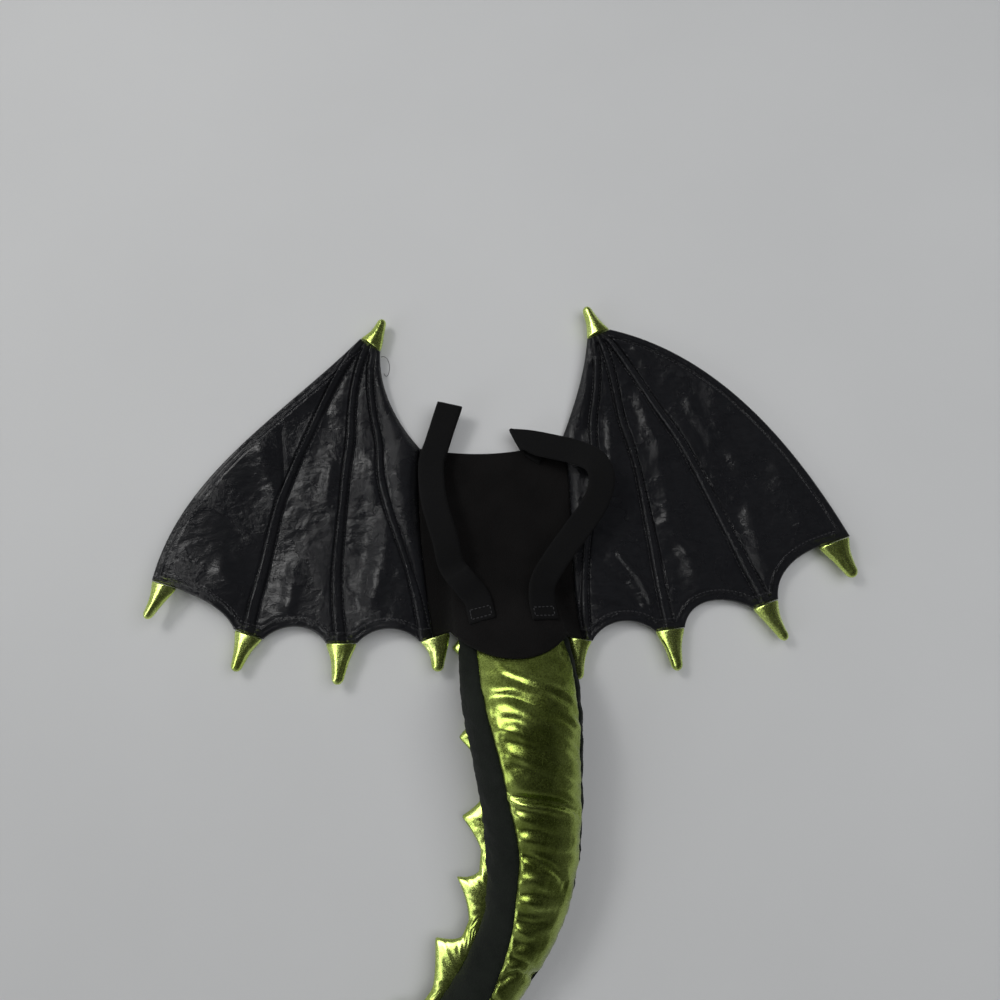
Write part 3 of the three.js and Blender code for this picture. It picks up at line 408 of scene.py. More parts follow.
left_plan = Plan(LEFT_CORNERS, LEFT_EDGES, LEFT_FOOT)
right_plan = Plan(RIGHT_CORNERS, RIGHT_EDGES, RIGHT_FOOT)

# Where the frame's origin is, from the panel's box
panel_low, panel_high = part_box("back_panel")
seam_left = -left_plan.seam.at(np.linspace(0, 1, 11))[:, 0] + GAP / 2
SHIFT = np.array([panel_low[0] / MM - seam_left.min(), panel_high[1] / MM - PANEL_HEIGHT, 0])


def to_frame(points):
    return (np.asarray(points, float) + SHIFT) * MM


def make(name, points, faces, material, attributes=None):
    """A piece that rides on the part, from points in millimetres."""
    mesh = bpy.data.meshes.new(name)
    mesh.from_pydata(to_frame(points).tolist(), [], [tuple(map(int, face)) for face in faces])
    mesh.polygons.foreach_set("use_smooth", [True] * len(mesh.polygons))
    for key, values in (attributes or {}).items():
        layer = mesh.attributes.new(key, "FLOAT", "POINT")
        layer.data.foreach_set("value", np.asarray(values, np.float32).ravel())
    mesh.materials.append(material)
    mesh.update()
    piece = bpy.data.objects.new(name, mesh)
    bpy.context.scene.collection.objects.link(piece)
    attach(piece, "root")
    return piece


def grid_faces(count_rows, count_columns, closed=False):
    """Faces between rows of points. In closed rows the last point is joined to the first."""
    j = np.arange(count_rows - 1)[:, None]
    i = np.arange(count_columns if closed else count_columns - 1)[None, :]
    a = j * count_columns + i
    b = j * count_columns + (i + 1) % count_columns
    return joined(a, b, b + count_columns, a + count_columns).reshape(-1, 4)


def tube_faces(rings, around):
    """Faces of a tube from rings of points, with a cap at both ends."""
    faces = [tuple(face) for face in grid_faces(rings, around, closed=True)]
    last = (rings - 1) * around
    return faces + [tuple(range(around))[::-1], tuple(range(last, last + around))]


def inside_out(points, quads):
    """Whether faces look inwards, from the sign of the volume that they enclose."""
    tri = np.concatenate([quads[:, [0, 1, 2]], quads[:, [0, 2, 3]]])
    return (points[tri[:, 0]] * np.cross(points[tri[:, 1]], points[tri[:, 2]])).sum() < 0


def quilt(upper, lower):
    """Points and faces of a closed slab between two grids. Its upper side faces up."""
    r, c = upper.shape[:2]
    points = np.concatenate([upper.reshape(-1, 3), lower.reshape(-1, 3)])
    top = grid_faces(r, c)
    a, b, d = points[top[len(top) // 2][0]], points[top[len(top) // 2][1]], points[top[len(top) // 2][3]]
    up = np.cross(b - a, d - a)[2] > 0
    under = top + r * c
    top = top if up else top[:, ::-1]
    under = under[:, ::-1] if up else under
    rim = ([i for i in range(c - 1)] + [j * c + c - 1 for j in range(r - 1)]
           + [(r - 1) * c + i for i in range(c - 1, 0, -1)] + [j * c for j in range(r - 1, 0, -1)])
    wall = []
    for a, b in zip(rim, rim[1:] + rim[:1]):
        face = (b, a, a + r * c, b + r * c)
        wall.append(face if up else face[::-1])
    return points, np.concatenate([top, under, np.array(wall)])


class Wiring:
    """Short ways to add nodes to a tree. Each gives the socket that its node ends in."""

    def __init__(self, tree):
        self.tree = tree

    def feed(self, socket, value):
        """Links a socket to another one, or sets it to a number or a colour."""
        if isinstance(value, bpy.types.NodeSocket):
            self.tree.links.new(value, socket)
        elif isinstance(value, tuple):
            socket.default_value = (*value, 1)
        else:
            socket.default_value = value

    def blend(self, low, high, factor):
        """Colour between two colours by a factor."""
        node = self.tree.nodes.new("ShaderNodeMix")
        node.data_type = "RGBA"
        for place, value in ((6, low), (7, high), (0, factor)):
            self.feed(node.inputs[place], value)
        return node.outputs[2]

    def remap(self, value, from_low, from_high, to_low, to_high):
        node = self.tree.nodes.new("ShaderNodeMapRange")
        node.interpolation_type = "SMOOTHSTEP"
        self.feed(node.inputs["Value"], value)
        ends = {"From Min": from_low, "From Max": from_high, "To Min": to_low, "To Max": to_high}
        for name, end in ends.items():
            node.inputs[name].default_value = end
        return node.outputs["Result"]

    def reckon(self, operation, *values):
        node = self.tree.nodes.new("ShaderNodeMath")
        node.operation = operation
        for socket, value in zip(node.inputs, values):
            self.feed(socket, value)
        return node.outputs[0]

    def plus(self, first, second):
        return self.reckon("ADD", first, second)

    def times(self, first, second):
        return self.reckon("MULTIPLY", first, second)


class Surface(Wiring):
    """A material of one principled shader. Textures are placed in metres."""

    def __init__(self, name):
        self.material = bpy.data.materials.new(name)
        self.material.use_nodes = True
        super().__init__(self.material.node_tree)
        self.shader = self.tree.nodes["Principled BSDF"]
        self.where = self.tree.nodes.new("ShaderNodeTexCoord").outputs["Object"]

    def texture(self, kind, scale, vector, **inputs):
        node = self.tree.nodes.new(kind)
        node.inputs["Scale"].default_value = scale
        for name, value in inputs.items():
            node.inputs[name].default_value = value
        self.feed(node.inputs["Vector"], self.where if vector is None else vector)
        return node

    def noise(self, scale, vector=None, **inputs):
        return self.texture("ShaderNodeTexNoise", scale, vector, **inputs).outputs["Fac"]

    def cells(self, scale, feature="F1"):
        node = self.texture("ShaderNodeTexVoronoi", scale, None)
        node.feature = feature
        return node.outputs["Distance"]

    def stretched(self, scale):
        node = self.tree.nodes.new("ShaderNodeMapping")
        node.inputs["Scale"].default_value = scale
        self.feed(node.inputs["Vector"], self.where)
        return node.outputs["Vector"]

    def attribute(self, name):
        node = self.tree.nodes.new("ShaderNodeAttribute")
        node.attribute_name = name
        return node.outputs["Fac"]

    def bump(self, height, distance, strength):
        node = self.tree.nodes.new("ShaderNodeBump")
        node.inputs["Distance"].default_value = distance
        node.inputs["Strength"].default_value = strength
        self.feed(node.inputs["Height"], height)
        self.set("Normal", node.outputs["Normal"])

    def set(self, name, value):
        self.feed(self.shader.inputs[name], value)


def vinyl_material():
    """Black, glossy and crinkled, more in some patches than in others, and gathered along the seams."""
    look = Surface("crinkled_vinyl")
    drawn = look.stretched((0.6, 1.4, 1.0))
    patches = look.noise(26, Detail=3, Roughness=0.6)
    crackle = look.cells(560, "DISTANCE_TO_EDGE")
    grain = look.noise(640, drawn, Detail=3, Roughness=0.6)
    crumple = look.noise(210, drawn, Detail=3, Roughness=0.55, Distortion=1.0)
    fine = look.plus(look.plus(crumple, look.times(grain, 0.42)), look.times(crackle, 0.25))
    amount = look.remap(patches, 0.42, 0.62, 0.28, 1.0)
    gathers = look.times(look.attribute("gathered"), look.noise(400, Detail=2, Roughness=0.5))
    look.bump(look.plus(look.times(fine, amount), look.times(gathers, 2.4)), 0.0014, 0.8)
    look.set("Roughness", look.remap(patches, 0.42, 0.64, 0.3, 0.24))
    look.set("Base Color", look.blend((0.0058, 0.006, 0.0072), (0.0135, 0.0138, 0.016), crumple))
    look.set("Specular IOR Level", 0.5)
    return look.material


def knit_material(name, dark, light):
    look = Surface(name)
    loops = look.cells(700)
    fuzz = look.noise(260, Detail=5, Roughness=0.7)
    wide = look.noise(22, Detail=3)
    look.bump(look.plus(loops, fuzz), 0.0005, 0.6)
    tone = look.times(look.plus(fuzz, wide), 0.5)
    look.set("Base Color", look.blend(dark, light, look.remap(tone, 0.35, 0.65, 0, 1)))
    look.set("Roughness", look.remap(fuzz, 0.3, 0.7, 0.82, 0.98))
    look.set("Specular IOR Level", 0.25)
    look.set("Sheen Weight", 0.03)
    look.set("Sheen Roughness", 0.5)
    return look.material


def webbing_material():
    """Ribs across the band and cords along it."""
    look = Surface("elastic_webbing")
    ribs = look.times(look.reckon("SINE", look.times(look.attribute("along_mm"), 4.6)), 0.5)
    cords = look.times(look.reckon("SINE", look.times(look.attribute("across_mm"), 3.9)), 0.5)
    fuzz = look.noise(500, Detail=4, Roughness=0.7)
    weave = look.plus(look.times(ribs, cords), fuzz)
    look.bump(weave, 0.0004, 0.7)
    tone = look.remap(weave, 0.1, 0.9, 0, 1)
    look.set("Base Color", look.blend((0.0032, 0.0032, 0.0034), (0.0068, 0.0068, 0.0072), tone))
    look.set("Roughness", look.remap(fuzz, 0.3, 0.7, 0.7, 0.9))
    look.set("Sheen Weight", 0.03)
    look.set("Specular IOR Level", 0.2)
    return look.material


def lame_material(name, dark, light, roughness=(0.25, 0.33)):
    look = Surface(name)
    wide = look.noise(38, Detail=4, Roughness=0.6, Distortion=0.8)
    fold = look.noise(120, Detail=3, Roughness=0.5)
    mottle = look.noise(620, Detail=3, Roughness=0.7)
    look.bump(look.plus(look.times(fold, 0.35), look.times(mottle, 0.05)), 0.002, 0.5)
    tone = look.times(look.plus(wide, mottle), 0.5)
    look.set("Base Color", look.blend(dark, light, look.remap(tone, 0.38, 0.62, 0, 1)))
    look.set("Roughness", look.remap(mottle, 0.3, 0.7, *roughness))
    look.set("Metallic", 0.97)
    return look.material


def thread_material():
    look = Surface("black_thread_painted_lighter")
    twist = look.noise(1500, Detail=2)
    # The thread is black; its base colour is painted lighter than that, a painted highlight for the glints
    # along the hem and rib stitch lines.
    look.set("Base Color", look.blend((0.02, 0.02, 0.022), (0.055, 0.055, 0.06), twist))
    look.bump(twist, 0.0003, 0.6)
    look.set("Roughness", 0.55)
    look.set("Sheen Weight", 0.1)
    return look.material


VINYL = vinyl_material()
KNIT = knit_material("panel_knit", (0.0036, 0.0033, 0.0033), (0.0066, 0.006, 0.006))
SIDE_KNIT = knit_material("tail_knit", (0.0065, 0.0082, 0.0066), (0.0125, 0.0155, 0.0122))
WEBBING = webbing_material()
LAME = lame_material("green_lame", (0.22, 0.285, 0.052), (0.38, 0.475, 0.12))
# The ridge and the claws are the belly's lamé with a lighter base colour: painted highlight, standing in for
# the brighter sheen that they catch.
RIDGE_LAME_PAINTED_LIGHTER = lame_material("ridge_lame_painted_lighter", (0.36, 0.46, 0.1), (0.54, 0.66, 0.19), (0.22, 0.3))
CLAW_LAME_PAINTED_LIGHTER = lame_material("claw_lame_painted_lighter", (0.5, 0.63, 0.14), (0.72, 0.86, 0.28), (0.22, 0.3))
THREAD_WITH_PAINTED_GLINTS = thread_material()


# Close steps at an edge, in millimetres, so that it comes out round
EDGE_STEPS = (0.5, 1.3, 2.6)
# Half of the thinnest edge, and the least height of an underside
THINNEST = 0.25
CLEAR = 0.05


def dense_places(marks, step):
    """Places that include the marks, about a step apart."""
    knots = sorted(set(marks))
    places = [knots[0]]
    for a, b in zip(knots[:-1], knots[1:]):
        count = max(1, round((b - a) / step))
        places.extend(np.linspace(a, b, count + 1)[1:])
    return np.array(places)


def close_to_ends(length):
    """Shares of a length that lie close to both its ends."""
    near = [step / length for step in EDGE_STEPS]
    return near + [1 - share for share in near]


def wing_middle(plan, corners, edges, side, across, down):
    """Height of a wing's middle layer: lifted at its edges, and pressed to the floor inside."""
    lift = {row["name"]: row["lift"] * WING_LIFT for row in corners}
    e = plan.bottom.ends
    flip = np.array([side, 1])
    foot_height = float(panel_height(plan.foot * flip))
    bottom = rows("at z", (0, foot_height), (e[1] * 0.5, lift["inner"]), (e[1], lift["inner"]),
                  ((e[1] + e[2]) / 2, edges["inner"][2] * WING_LIFT), ((e[2] + e[3]) / 2, lift["third"]),
                  ((e[3] + e[4]) / 2, edges["third"][2] * WING_LIFT), ((e[4] + e[5]) / 2, lift["second"]),
                  ((e[5] + e[6]) / 2, edges["second"][2] * WING_LIFT), ((e[6] + 1) / 2, lift["outer"]),
                  (1, lift["outer"]))
    neck = plan.start.ends[1]
    neck_height = float(panel_height(plan.neck * flip))
    free = rows("at z", (0, lift["top"]), (0.5, edges["top"][2] * WING_LIFT), (1, neck_height))
    finish = rows("at z", (0, lift["top"]), (0.5, edges["outer"][2] * WING_LIFT), (1, lift["outer"]))
    sewn = panel_height(plan.start.at(down) * flip)
    start = np.where(down > neck, sewn, follow(free, "z", down / neck))
    corner = lift["top"] * (1 - down) + foot_height * (1 - across) * down + lift["outer"] * across * down
    loose = (lift["top"] * (1 - down) + follow(bottom, "z", across) * down + start * (1 - across)
             + follow(finish, "z", down) * across - corner)
    pressed = (smoothstep(np.minimum(across, 1 - across), 0, 0.3)
               * smoothstep(np.minimum(down, 1 - down), 0, 0.3))
    return loose + (WING_THICKNESS / 2 - loose) * pressed


def rib_edges(plan, ribs, share):
    """Both edges of each rib as shares across, and the ribs' half widths, at a share of the way down."""
    e = plan.bottom.ends
    feet = {"inner": e[1] / 2, "third": (e[2] + e[3]) / 2, "second": (e[4] + e[5]) / 2}
    table = ribs + [{"at": 1, **feet}]
    chord = np.linalg.norm(plan.start.at(share) - plan.finish.at(share))
    width = chord + (plan.bottom.length - chord) * share
    middles = [float(follow(table, name, share)) for name in ("inner", "third", "second")]
    first_room, second_room = middles[1] - middles[0], middles[2] - middles[1]
    rooms = [min(middles[0] * 1.8, first_room), first_room, second_room]
    halves = [min(RIB_WIDTH / 2 / width, room * RIB_CROWDING) for room in rooms]
    knots = [0.0]
    for middle, half in zip(middles, halves):
        knots += [middle - half, middle + half]
    return np.array(knots + [1.0]), [half * width for half in halves]


# Bulges and folds of the membranes: width, height (below nought a groove), then places in plan
LEFT_FOLDS = [
    (10, 2.8, (-227, 188.4), (-215.3, 138.9)), (2, -1.8, (-208.1, 210), (-207.3, 168.7), (-208.5, 133.5)),
    (7, 2.4, (-173, 220.2), (-191.4, 186.1)), (8, 2.6, (-118.5, 171), (-119.5, 140.6)),
    (10, 3, (-109.4, 92.3), (-120.8, 37.1)), (9, 2.6, (-262.4, 71.4), (-242.2, 43.3)),
    (8, 1.8, (-196.4, 73.7), (-202.5, 31.2)), (7, 1.8, (-87, 168.9), (-86.6, 130.4)),
    (6, 1.6, (-160, 170.6), (-165.6, 135.6))]
RIGHT_FOLDS = [
    (7, 2.2, (103.7, 236.8), (98.5, 202.1)), (6, 2, (120.3, 198.6), (118.1, 155.2)),
    (8, 3, (155, 222.7), (160.2, 196), (166.5, 162.3)), (5, 1.6, (154, 271.3), (164.1, 251)),
    (7, 2, (167.4, 143.8), (170.6, 93.4)), (8, 2.4, (166.5, 91.7), (179, 65.3)),
    (9, 2.6, (184, 58.2), (191.9, 12.6)), (9, 2.4, (248.9, 93.1), (254.2, 19.8)),
    (6, 2.4, (77.3, 31.6), (107.7, 20.1)), (2.5, 3.2, (116.8, 62.6), (133.6, 39.3), (141.7, 15.9)),
    (5, -2.6, (100.9, 58.8), (118, 36.5), (129.2, 14.9)), (1.6, 1.4, (102.8, 89), (113, 83.4)),
    (8, 1.8, (226.1, 191.6), (245.2, 138.6)), (10, 1.8, (278.6, 136.4), (294.7, 85.1)),
    (6, 1.5, (202.6, 214.2), (219.5, 171.2))]


def folds(xy, table):
    """Height of the bulges and folds. They end softly, about as wide as they are."""
    total = np.zeros(xy.shape[:-1])
    for width, height, *places in table:
        away, _ = distance_to(xy, thin(np.array(places, float), 5))
        ragged = width * (1 + 0.25 * noise(joined(xy[..., 0] / 14, xy[..., 1] / 14, 0 * away + width), 91))
        total += height * bell(away, 0, ragged)
    return total


def tube(line, radii, sides=6):
    """Points and faces of a thread along a line."""
    line, radii = np.array(line, float), np.array(radii, float)
    way = unit_rows(np.gradient(line, axis=0))
    first = unit_rows(np.cross(way, [0, 0, 1.0]))
    second = np.cross(first, way)
    angle = np.linspace(0, 2 * math.pi, sides, endpoint=False)[None, :, None]
    round_it = first[:, None] * np.cos(angle) + second[:, None] * np.sin(angle)
    points = line[:, None] + radii[:, None, None] * round_it
    return points.reshape(-1, 3), tube_faces(len(line), sides)


# Half thicknesses of a stitch from end to end, and how deep its ends go into the cloth
STITCH_RADII = (0.26, 0.42, 0.42, 0.26)
STITCH_DEPTH = 0.4


def sew(name, lines, pitch=4.0):
    """Stitches of black thread along lines of x, y, z."""
    points, faces = [], []
    count_points = 0
    for line in lines:
        path = Path(np.array(line, float))
        count = max(1, int(path.length / pitch))
        half = 0.36 * pitch / path.length
        for k in range(count):
            middle = (k + 0.5) / count
            stitch = path.at(middle + half * np.array([-1, -0.6, 0.6, 1]))
            stitch[[0, -1], 2] -= STITCH_DEPTH
            more, sides = tube(stitch, STITCH_RADII)
            points.append(more)
            faces += [tuple(i + count_points for i in face) for face in sides]
            count_points += len(more)
    make(name, np.concatenate(points), faces, THREAD_WITH_PAINTED_GLINTS)


def hem_lines(points, edge, inset):
    """Lines at an inset from the free edge, from rows of points read inwards. Jumps split a line."""
    lines = [[]]
    for row, away in zip(points, edge):
        k = int(np.argmax(away >= inset))
        if k > 0:
            share = (inset - away[k - 1]) / (away[k] - away[k - 1])
            place = row[k - 1] + (row[k] - row[k - 1]) * share
            if lines[-1] and np.linalg.norm(place - lines[-1][-1]) > 5:
                lines.append([])
            lines[-1].append(place)
    return [line for line in lines if len(line) > 3]


def wing_grid(plan, ribs):
    """Shares across and down a wing, each column's place within a rib from -1 to 1, the ribs' half widths,
    and the columns where the ribs are stitched."""
    feet, _ = rib_edges(plan, ribs, 1.0)
    marks = list(feet) + list(plan.bottom.ends) + close_to_ends(plan.bottom.length)
    for low, high in zip(feet[1:-1:2], feet[2:-1:2]):
        marks += [low + (high - low) * share for share in (0.04, 0.12, 0.88, 0.96)]
    places = dense_places(marks, 1.7 / plan.bottom.length)
    tall = plan.start.length
    downs = dense_places([0, 1, plan.start.ends[1]] + close_to_ends(tall), 2.0 / tall)
    in_rib = np.full(len(places), -1.0)
    rib = np.full(len(places), -1)
    for k in range(3):
        low, high = feet[1 + 2 * k], feet[2 + 2 * k]
        place = (places - (low + high) / 2) / ((high - low) / 2)
        in_rib = np.where(np.abs(place) <= 1, place, in_rib)
        rib = np.where(np.abs(place) <= 1, k, rib)
    knots, halves = zip(*(rib_edges(plan, ribs, down) for down in downs))
    across = np.array([np.interp(places, feet, row) for row in knots])
    rib_half = np.where(rib < 0, 0, np.array(halves)[:, rib])
    columns = [int(np.argmin(np.abs(places - knot))) for knot in feet[1:7]]
    return across, np.repeat(downs[:, None], len(places), axis=1), in_rib, rib_half, columns


def wing_plan(plan, across, down):
    """The grid's places in plan, and their distances to the free edge and to the seam."""
    free = np.concatenate([thin(plan.inner_edge[::-1], 40), plan.top.points, thin(plan.leading[::-1], 60),
                           plan.bottom.at(np.linspace(1, 0, 260))])
    seam_line = thin(plan.seam.points, 40)
    xy = patch(plan.edges, across, down)
    # The neck corner of the seam would bend the ribs: their lines are eased away from the edges
    nearest = np.minimum(distance_to(xy, free)[0], distance_to(xy, seam_line)[0])
    loose = smoothstep(nearest, 2, 14)[..., None]
    for _ in range(90):
        eased = xy.copy()
        eased[1:-1] = (xy[:-2] + 2 * xy[1:-1] + xy[2:]) / 4
        xy = xy + loose * (eased - xy)
    return xy, distance_to(xy, free)[0], distance_to(xy, seam_line)[0]


# A rib's sides and its crest, as places from -1 to 1 across it
RIB_SIDE = 0.93
RIB_CREST = 0.42


def rib_rise(side, in_rib, rib_half):
    """Height of the ribs. The filling lies in the left flank, seen from above, and falls off to the right."""
    lying = -in_rib * side
    left_flank = np.clip((RIB_SIDE - lying) / (RIB_SIDE - RIB_CREST), 0, 1)
    right_flank = np.clip((lying + RIB_SIDE) / 0.3, 0, 1)
    slope = 0.55 + 0.45 * np.clip((lying + RIB_SIDE) / (RIB_CREST + RIB_SIDE), 0, 1) ** 1.4
    rise = np.sin(left_flank * math.pi / 2) * np.sin(right_flank * math.pi / 2) * slope
    return np.where(rib_half > 0, np.minimum(rib_half / (RIB_WIDTH / 2), 1.0) * RIB_RISE * rise, 0)


# How far in from the edge the hem is stitched, and how much plainer the left wing's leading edge is
HEM = 9.4
PLAINER = 0.65


def build_wing(name, side, plan, corners, edges, ribs, fold_table, slack, seed):
    across, down, in_rib, rib_half, columns = wing_grid(plan, ribs)
    middle = wing_middle(plan, corners, edges, side, across, down)
    xy, edge, seam = wing_plan(plan, across, down)
    place = joined(xy[..., 0] * side, xy[..., 1])
    field = joined(xy[..., 0] * side, xy[..., 1], 0 * edge)
    stitched = np.min([distance_to(xy, thin(xy[:, column], 60))[0] for column in columns], axis=0)

    # Ribs, the drape and folds of the membranes, and their filling between the stitches
    hump = rib_rise(side, in_rib, rib_half)
    calm = smoothstep(np.minimum(edge, seam), 2, 16) * (1 - 0.75 * (hump > 0.05))
    drape = slack * fractal(field / 44, seed, 3) + 0.5 * fractal(field / np.array([15, 7, 9]), seed + 9, 3)
    centre = middle + (drape + 1.3 * folds(place, fold_table)) * calm
    puff = 1.5 * (1 - np.exp(-stitched / 3.0)) - 1.3 * bell(stitched, 0, 1.1)

    # The hem: a puckered roll on both sides of the stitches
    pucker = 0.55 + 0.9 * noise(field / np.array([2.6, 2.6, 9]) + seed, seed + 31)
    scallops, _ = distance_to(xy, plan.bottom.at(np.linspace(0, 1, 120)))
    full = 1 - (PLAINER if side < 0 else 0) * smoothstep(scallops, 10, 22)
    roll = 1.15 * bell(edge, 7.4, 1.1) * pucker - bell(edge, HEM, 0.8) + 0.35 * bell(edge, 11.6, 1.6) * pucker
    hem = full * (roll + 0.4 * smoothstep(edge, 0, 3) * (1 - smoothstep(edge, 4, 6)))
    gathered = np.maximum(full * bell(edge, 7.6, 1.4), 0.25 * bell(stitched, 1.6, 1.2))

    top_half = WING_THICKNESS / 2 + puff * smoothstep(edge, 5, 11) + hem + hump
    round_off = quarter(edge, 2.2)
    upper = centre + np.maximum(top_half * np.minimum(round_off, 0.35 + 0.65 * quarter(seam, 3.0)), THINNEST)
    lower = np.maximum(centre - np.maximum(WING_THICKNESS / 2 * round_off, THINNEST), CLEAR)
    lower = np.minimum(lower, upper - 2 * THINNEST)
    at_seam = (seam < 0.01) & (down >= plan.start.ends[1] - 1e-9)
    x = (xy[..., 0] + np.where(at_seam, GAP / 2, 0)) * side
    surface = joined(x, xy[..., 1], upper)
    points, faces = quilt(surface, joined(x, xy[..., 1], lower))
    piece = make(name, points, faces, VINYL, {"gathered": np.tile(gathered.ravel(), 2)})
    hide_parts(name)

    lines = [surface[edge[:, column] > 10, column] for column in columns]
    lines += hem_lines(surface.transpose(1, 0, 2)[:, ::-1], edge.T[:, ::-1], HEM)
    lines += hem_lines(surface[:, ::-1], edge[:, ::-1], HEM)
    sew("stitches_" + name, lines)


build_wing("wing_left", -1, left_plan, LEFT_CORNERS, LEFT_EDGES, LEFT_RIBS, LEFT_FOLDS, 0.7, 3)
build_wing("wing_right", 1, right_plan, RIGHT_CORNERS, RIGHT_EDGES, RIGHT_RIBS, RIGHT_FOLDS, 1.6, 20)


def build_panel():
    flip = np.array([-1, 1])
    start = Path(left_plan.seam.points * flip)
    finish = right_plan.seam
    lobe_start = left_plan.seats["inner"]["first"] * flip
    lobe_finish = right_plan.seats["inner"]["first"]
    top = Path(bow(start.at(0.0), finish.at(0.0), *NECK_DIP))
    bottom = Path(straight(start.at(1.0), lobe_start), bow(lobe_start, lobe_finish, *LOBE),
                  straight(lobe_finish, finish.at(1.0)))
    tall, wide = 200.0, bottom.length
    places = dense_places([0, 1] + list(bottom.ends[1:3]) + close_to_ends(wide), 1.5 / wide)
    downs = dense_places([0, 1] + close_to_ends(tall), 1.7 / tall)
    across, down = np.meshgrid(places, downs)
    xy = patch((top, bottom, start, finish), across, down)
    middle = panel_height(xy)
    edge_lines = [thin(top.points, 50), bottom.at(np.linspace(0, 1, 160))]
    edge = np.minimum(*(distance_to(xy, line)[0] for line in edge_lines))
    seam = np.minimum(distance_to(xy, start.points[::4])[0], distance_to(xy, finish.points[::4])[0])
    field = joined(xy[..., 0], xy[..., 1], 0 * edge)
    calm = smoothstep(np.minimum(edge, seam), 0, 14)
    soft = (1.1 * fractal(field / 55, 31, 2) + 0.35 * fractal(field / 17, 35, 3)) * calm
    hem = -0.5 * bell(edge, 4.5, 0.9)
    round_off = quarter(edge, 2.4)
    thinned = np.minimum(round_off, 0.35 + 0.65 * quarter(seam, 3.0))
    upper = middle + np.maximum((PANEL_THICKNESS / 2 + hem) * thinned + soft, THINNEST)
    lower = np.maximum(middle - np.maximum(PANEL_THICKNESS / 2 * round_off, THINNEST), CLEAR)
    x = xy[..., 0].copy()
    x[:, 0] += GAP / 2
    x[:, -1] -= GAP / 2
    points, faces = quilt(joined(x, xy[..., 1], upper), joined(x, xy[..., 1], lower))
    piece = make("back_panel", points, faces, KNIT)
    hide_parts("back_panel")


build_panel()


# A claw's width at shares of its length, and where its rounded tip starts
CLAW_SHARES = (0, 0.12, 0.28, 0.45, 0.62, 0.8, 1)
CLAW_WIDTHS = (1.0, 0.9, 0.74, 0.58, 0.48, 0.4, 0.34)
CLAW_TIP = 0.86


def build_claw(name, side, seat, seed):
    row = seat["row"]
    facing, along = seat["facing"], seat["along"]
    start = seat["middle"] + facing * GAP
    length = row["length"] * CLAW_LENGTH
    tip = start + facing_to(row["point"]) * length
    bend = start + facing * length * 0.45
    half = row["seat"] * CLAW_WIDTH / 2 - GAP
    rings, around = 44, 48
    share = np.linspace(0, 1, rings) ** 0.85
    t = share[:, None]
    line = (1 - t) ** 2 * start + 2 * t * (1 - t) * bend + t ** 2 * tip
    way = unit_rows(np.gradient(line, axis=0))
    across = joined(-way[:, 1], way[:, 0])
    across[0] = along
    slim = np.interp(share, CLAW_SHARES, CLAW_WIDTHS)
    rounded = np.sqrt(np.clip(1 - (np.maximum(share - CLAW_TIP, 0) / (1 - CLAW_TIP)) ** 2, 0, 1))
    z = (row["lift"] + (row["tip"] - row["lift"]) * share) * WING_LIFT
    deep = np.minimum((CLAW_DEPTH + (CLAW_WIDTH * 0.3 - CLAW_DEPTH) * share) / 2, z)
    angle = np.linspace(0, 2 * math.pi, around, endpoint=False)
    cosine, sine = np.cos(angle), np.sin(angle)
    lens = np.sign(sine) * np.abs(sine) ** 1.1
    # Lumps of the filling, fewer at the base and the tip
    base_in = 1 - 0.05 * np.exp(-share / 0.03)[:, None]
    field = joined(cosine * 1.6 + 0 * t, sine * 1.6 + 0 * t, t * 1.5 + 0 * angle)
    finer = field * np.array([2.4, 2.4, 1.3])
    lumps = 0.9 * noise(field + seed, seed) + 0.5 * noise(finer + seed * 2, seed + 5)
    fade = np.sin(math.pi * np.clip(t, 0.03, 0.97)) ** 0.5
    swell = 1 + 0.085 * lumps * fade
    width = half * (slim * rounded)[:, None] * base_in * swell
    depth = (deep * rounded)[:, None] * (0.8 + 0.2 * base_in) * swell
    points = joined((line[:, None, 0] + across[:, None, 0] * width * cosine) * side,
                    line[:, None, 1] + across[:, None, 1] * width * cosine,
                    np.maximum(z[:, None] + depth * lens, 2 * CLEAR))
    # The cut edge at the seam is a little uneven
    uneven = np.abs(noise(field[:1] * 9 + seed, seed + 3))[0] * 1.1
    outwards = facing * np.array([side, 1])
    points[:6, :, :2] += outwards * (uneven[:, None] * np.exp(-share[:6, None, None] / 0.02))
    flat = points.reshape(-1, 3)
    base = len(flat)
    flat = np.concatenate([flat, points[0].mean(axis=0)[None], points[-1].mean(axis=0)[None]])
    fans = [(base, (k + 1) % around, k) for k in range(around)]
    end = (rings - 1) * around
    fans += [(base + 1, end + k, end + (k + 1) % around) for k in range(around)]
    faces = [tuple(face) for face in grid_faces(rings, around, closed=True)] + fans
    if side > 0:
        faces = [face[::-1] for face in faces]
    piece = make(name, flat, faces, CLAW_LAME_PAINTED_LIGHTER)
    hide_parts(name)


for plan, side, word in ((left_plan, -1, "left"), (right_plan, 1, "right")):
    for index, (key, seat) in enumerate(plan.seats.items()):
        build_claw(f"claw_{word}_{key}", side, seat, index + (10 if side > 0 else 1))


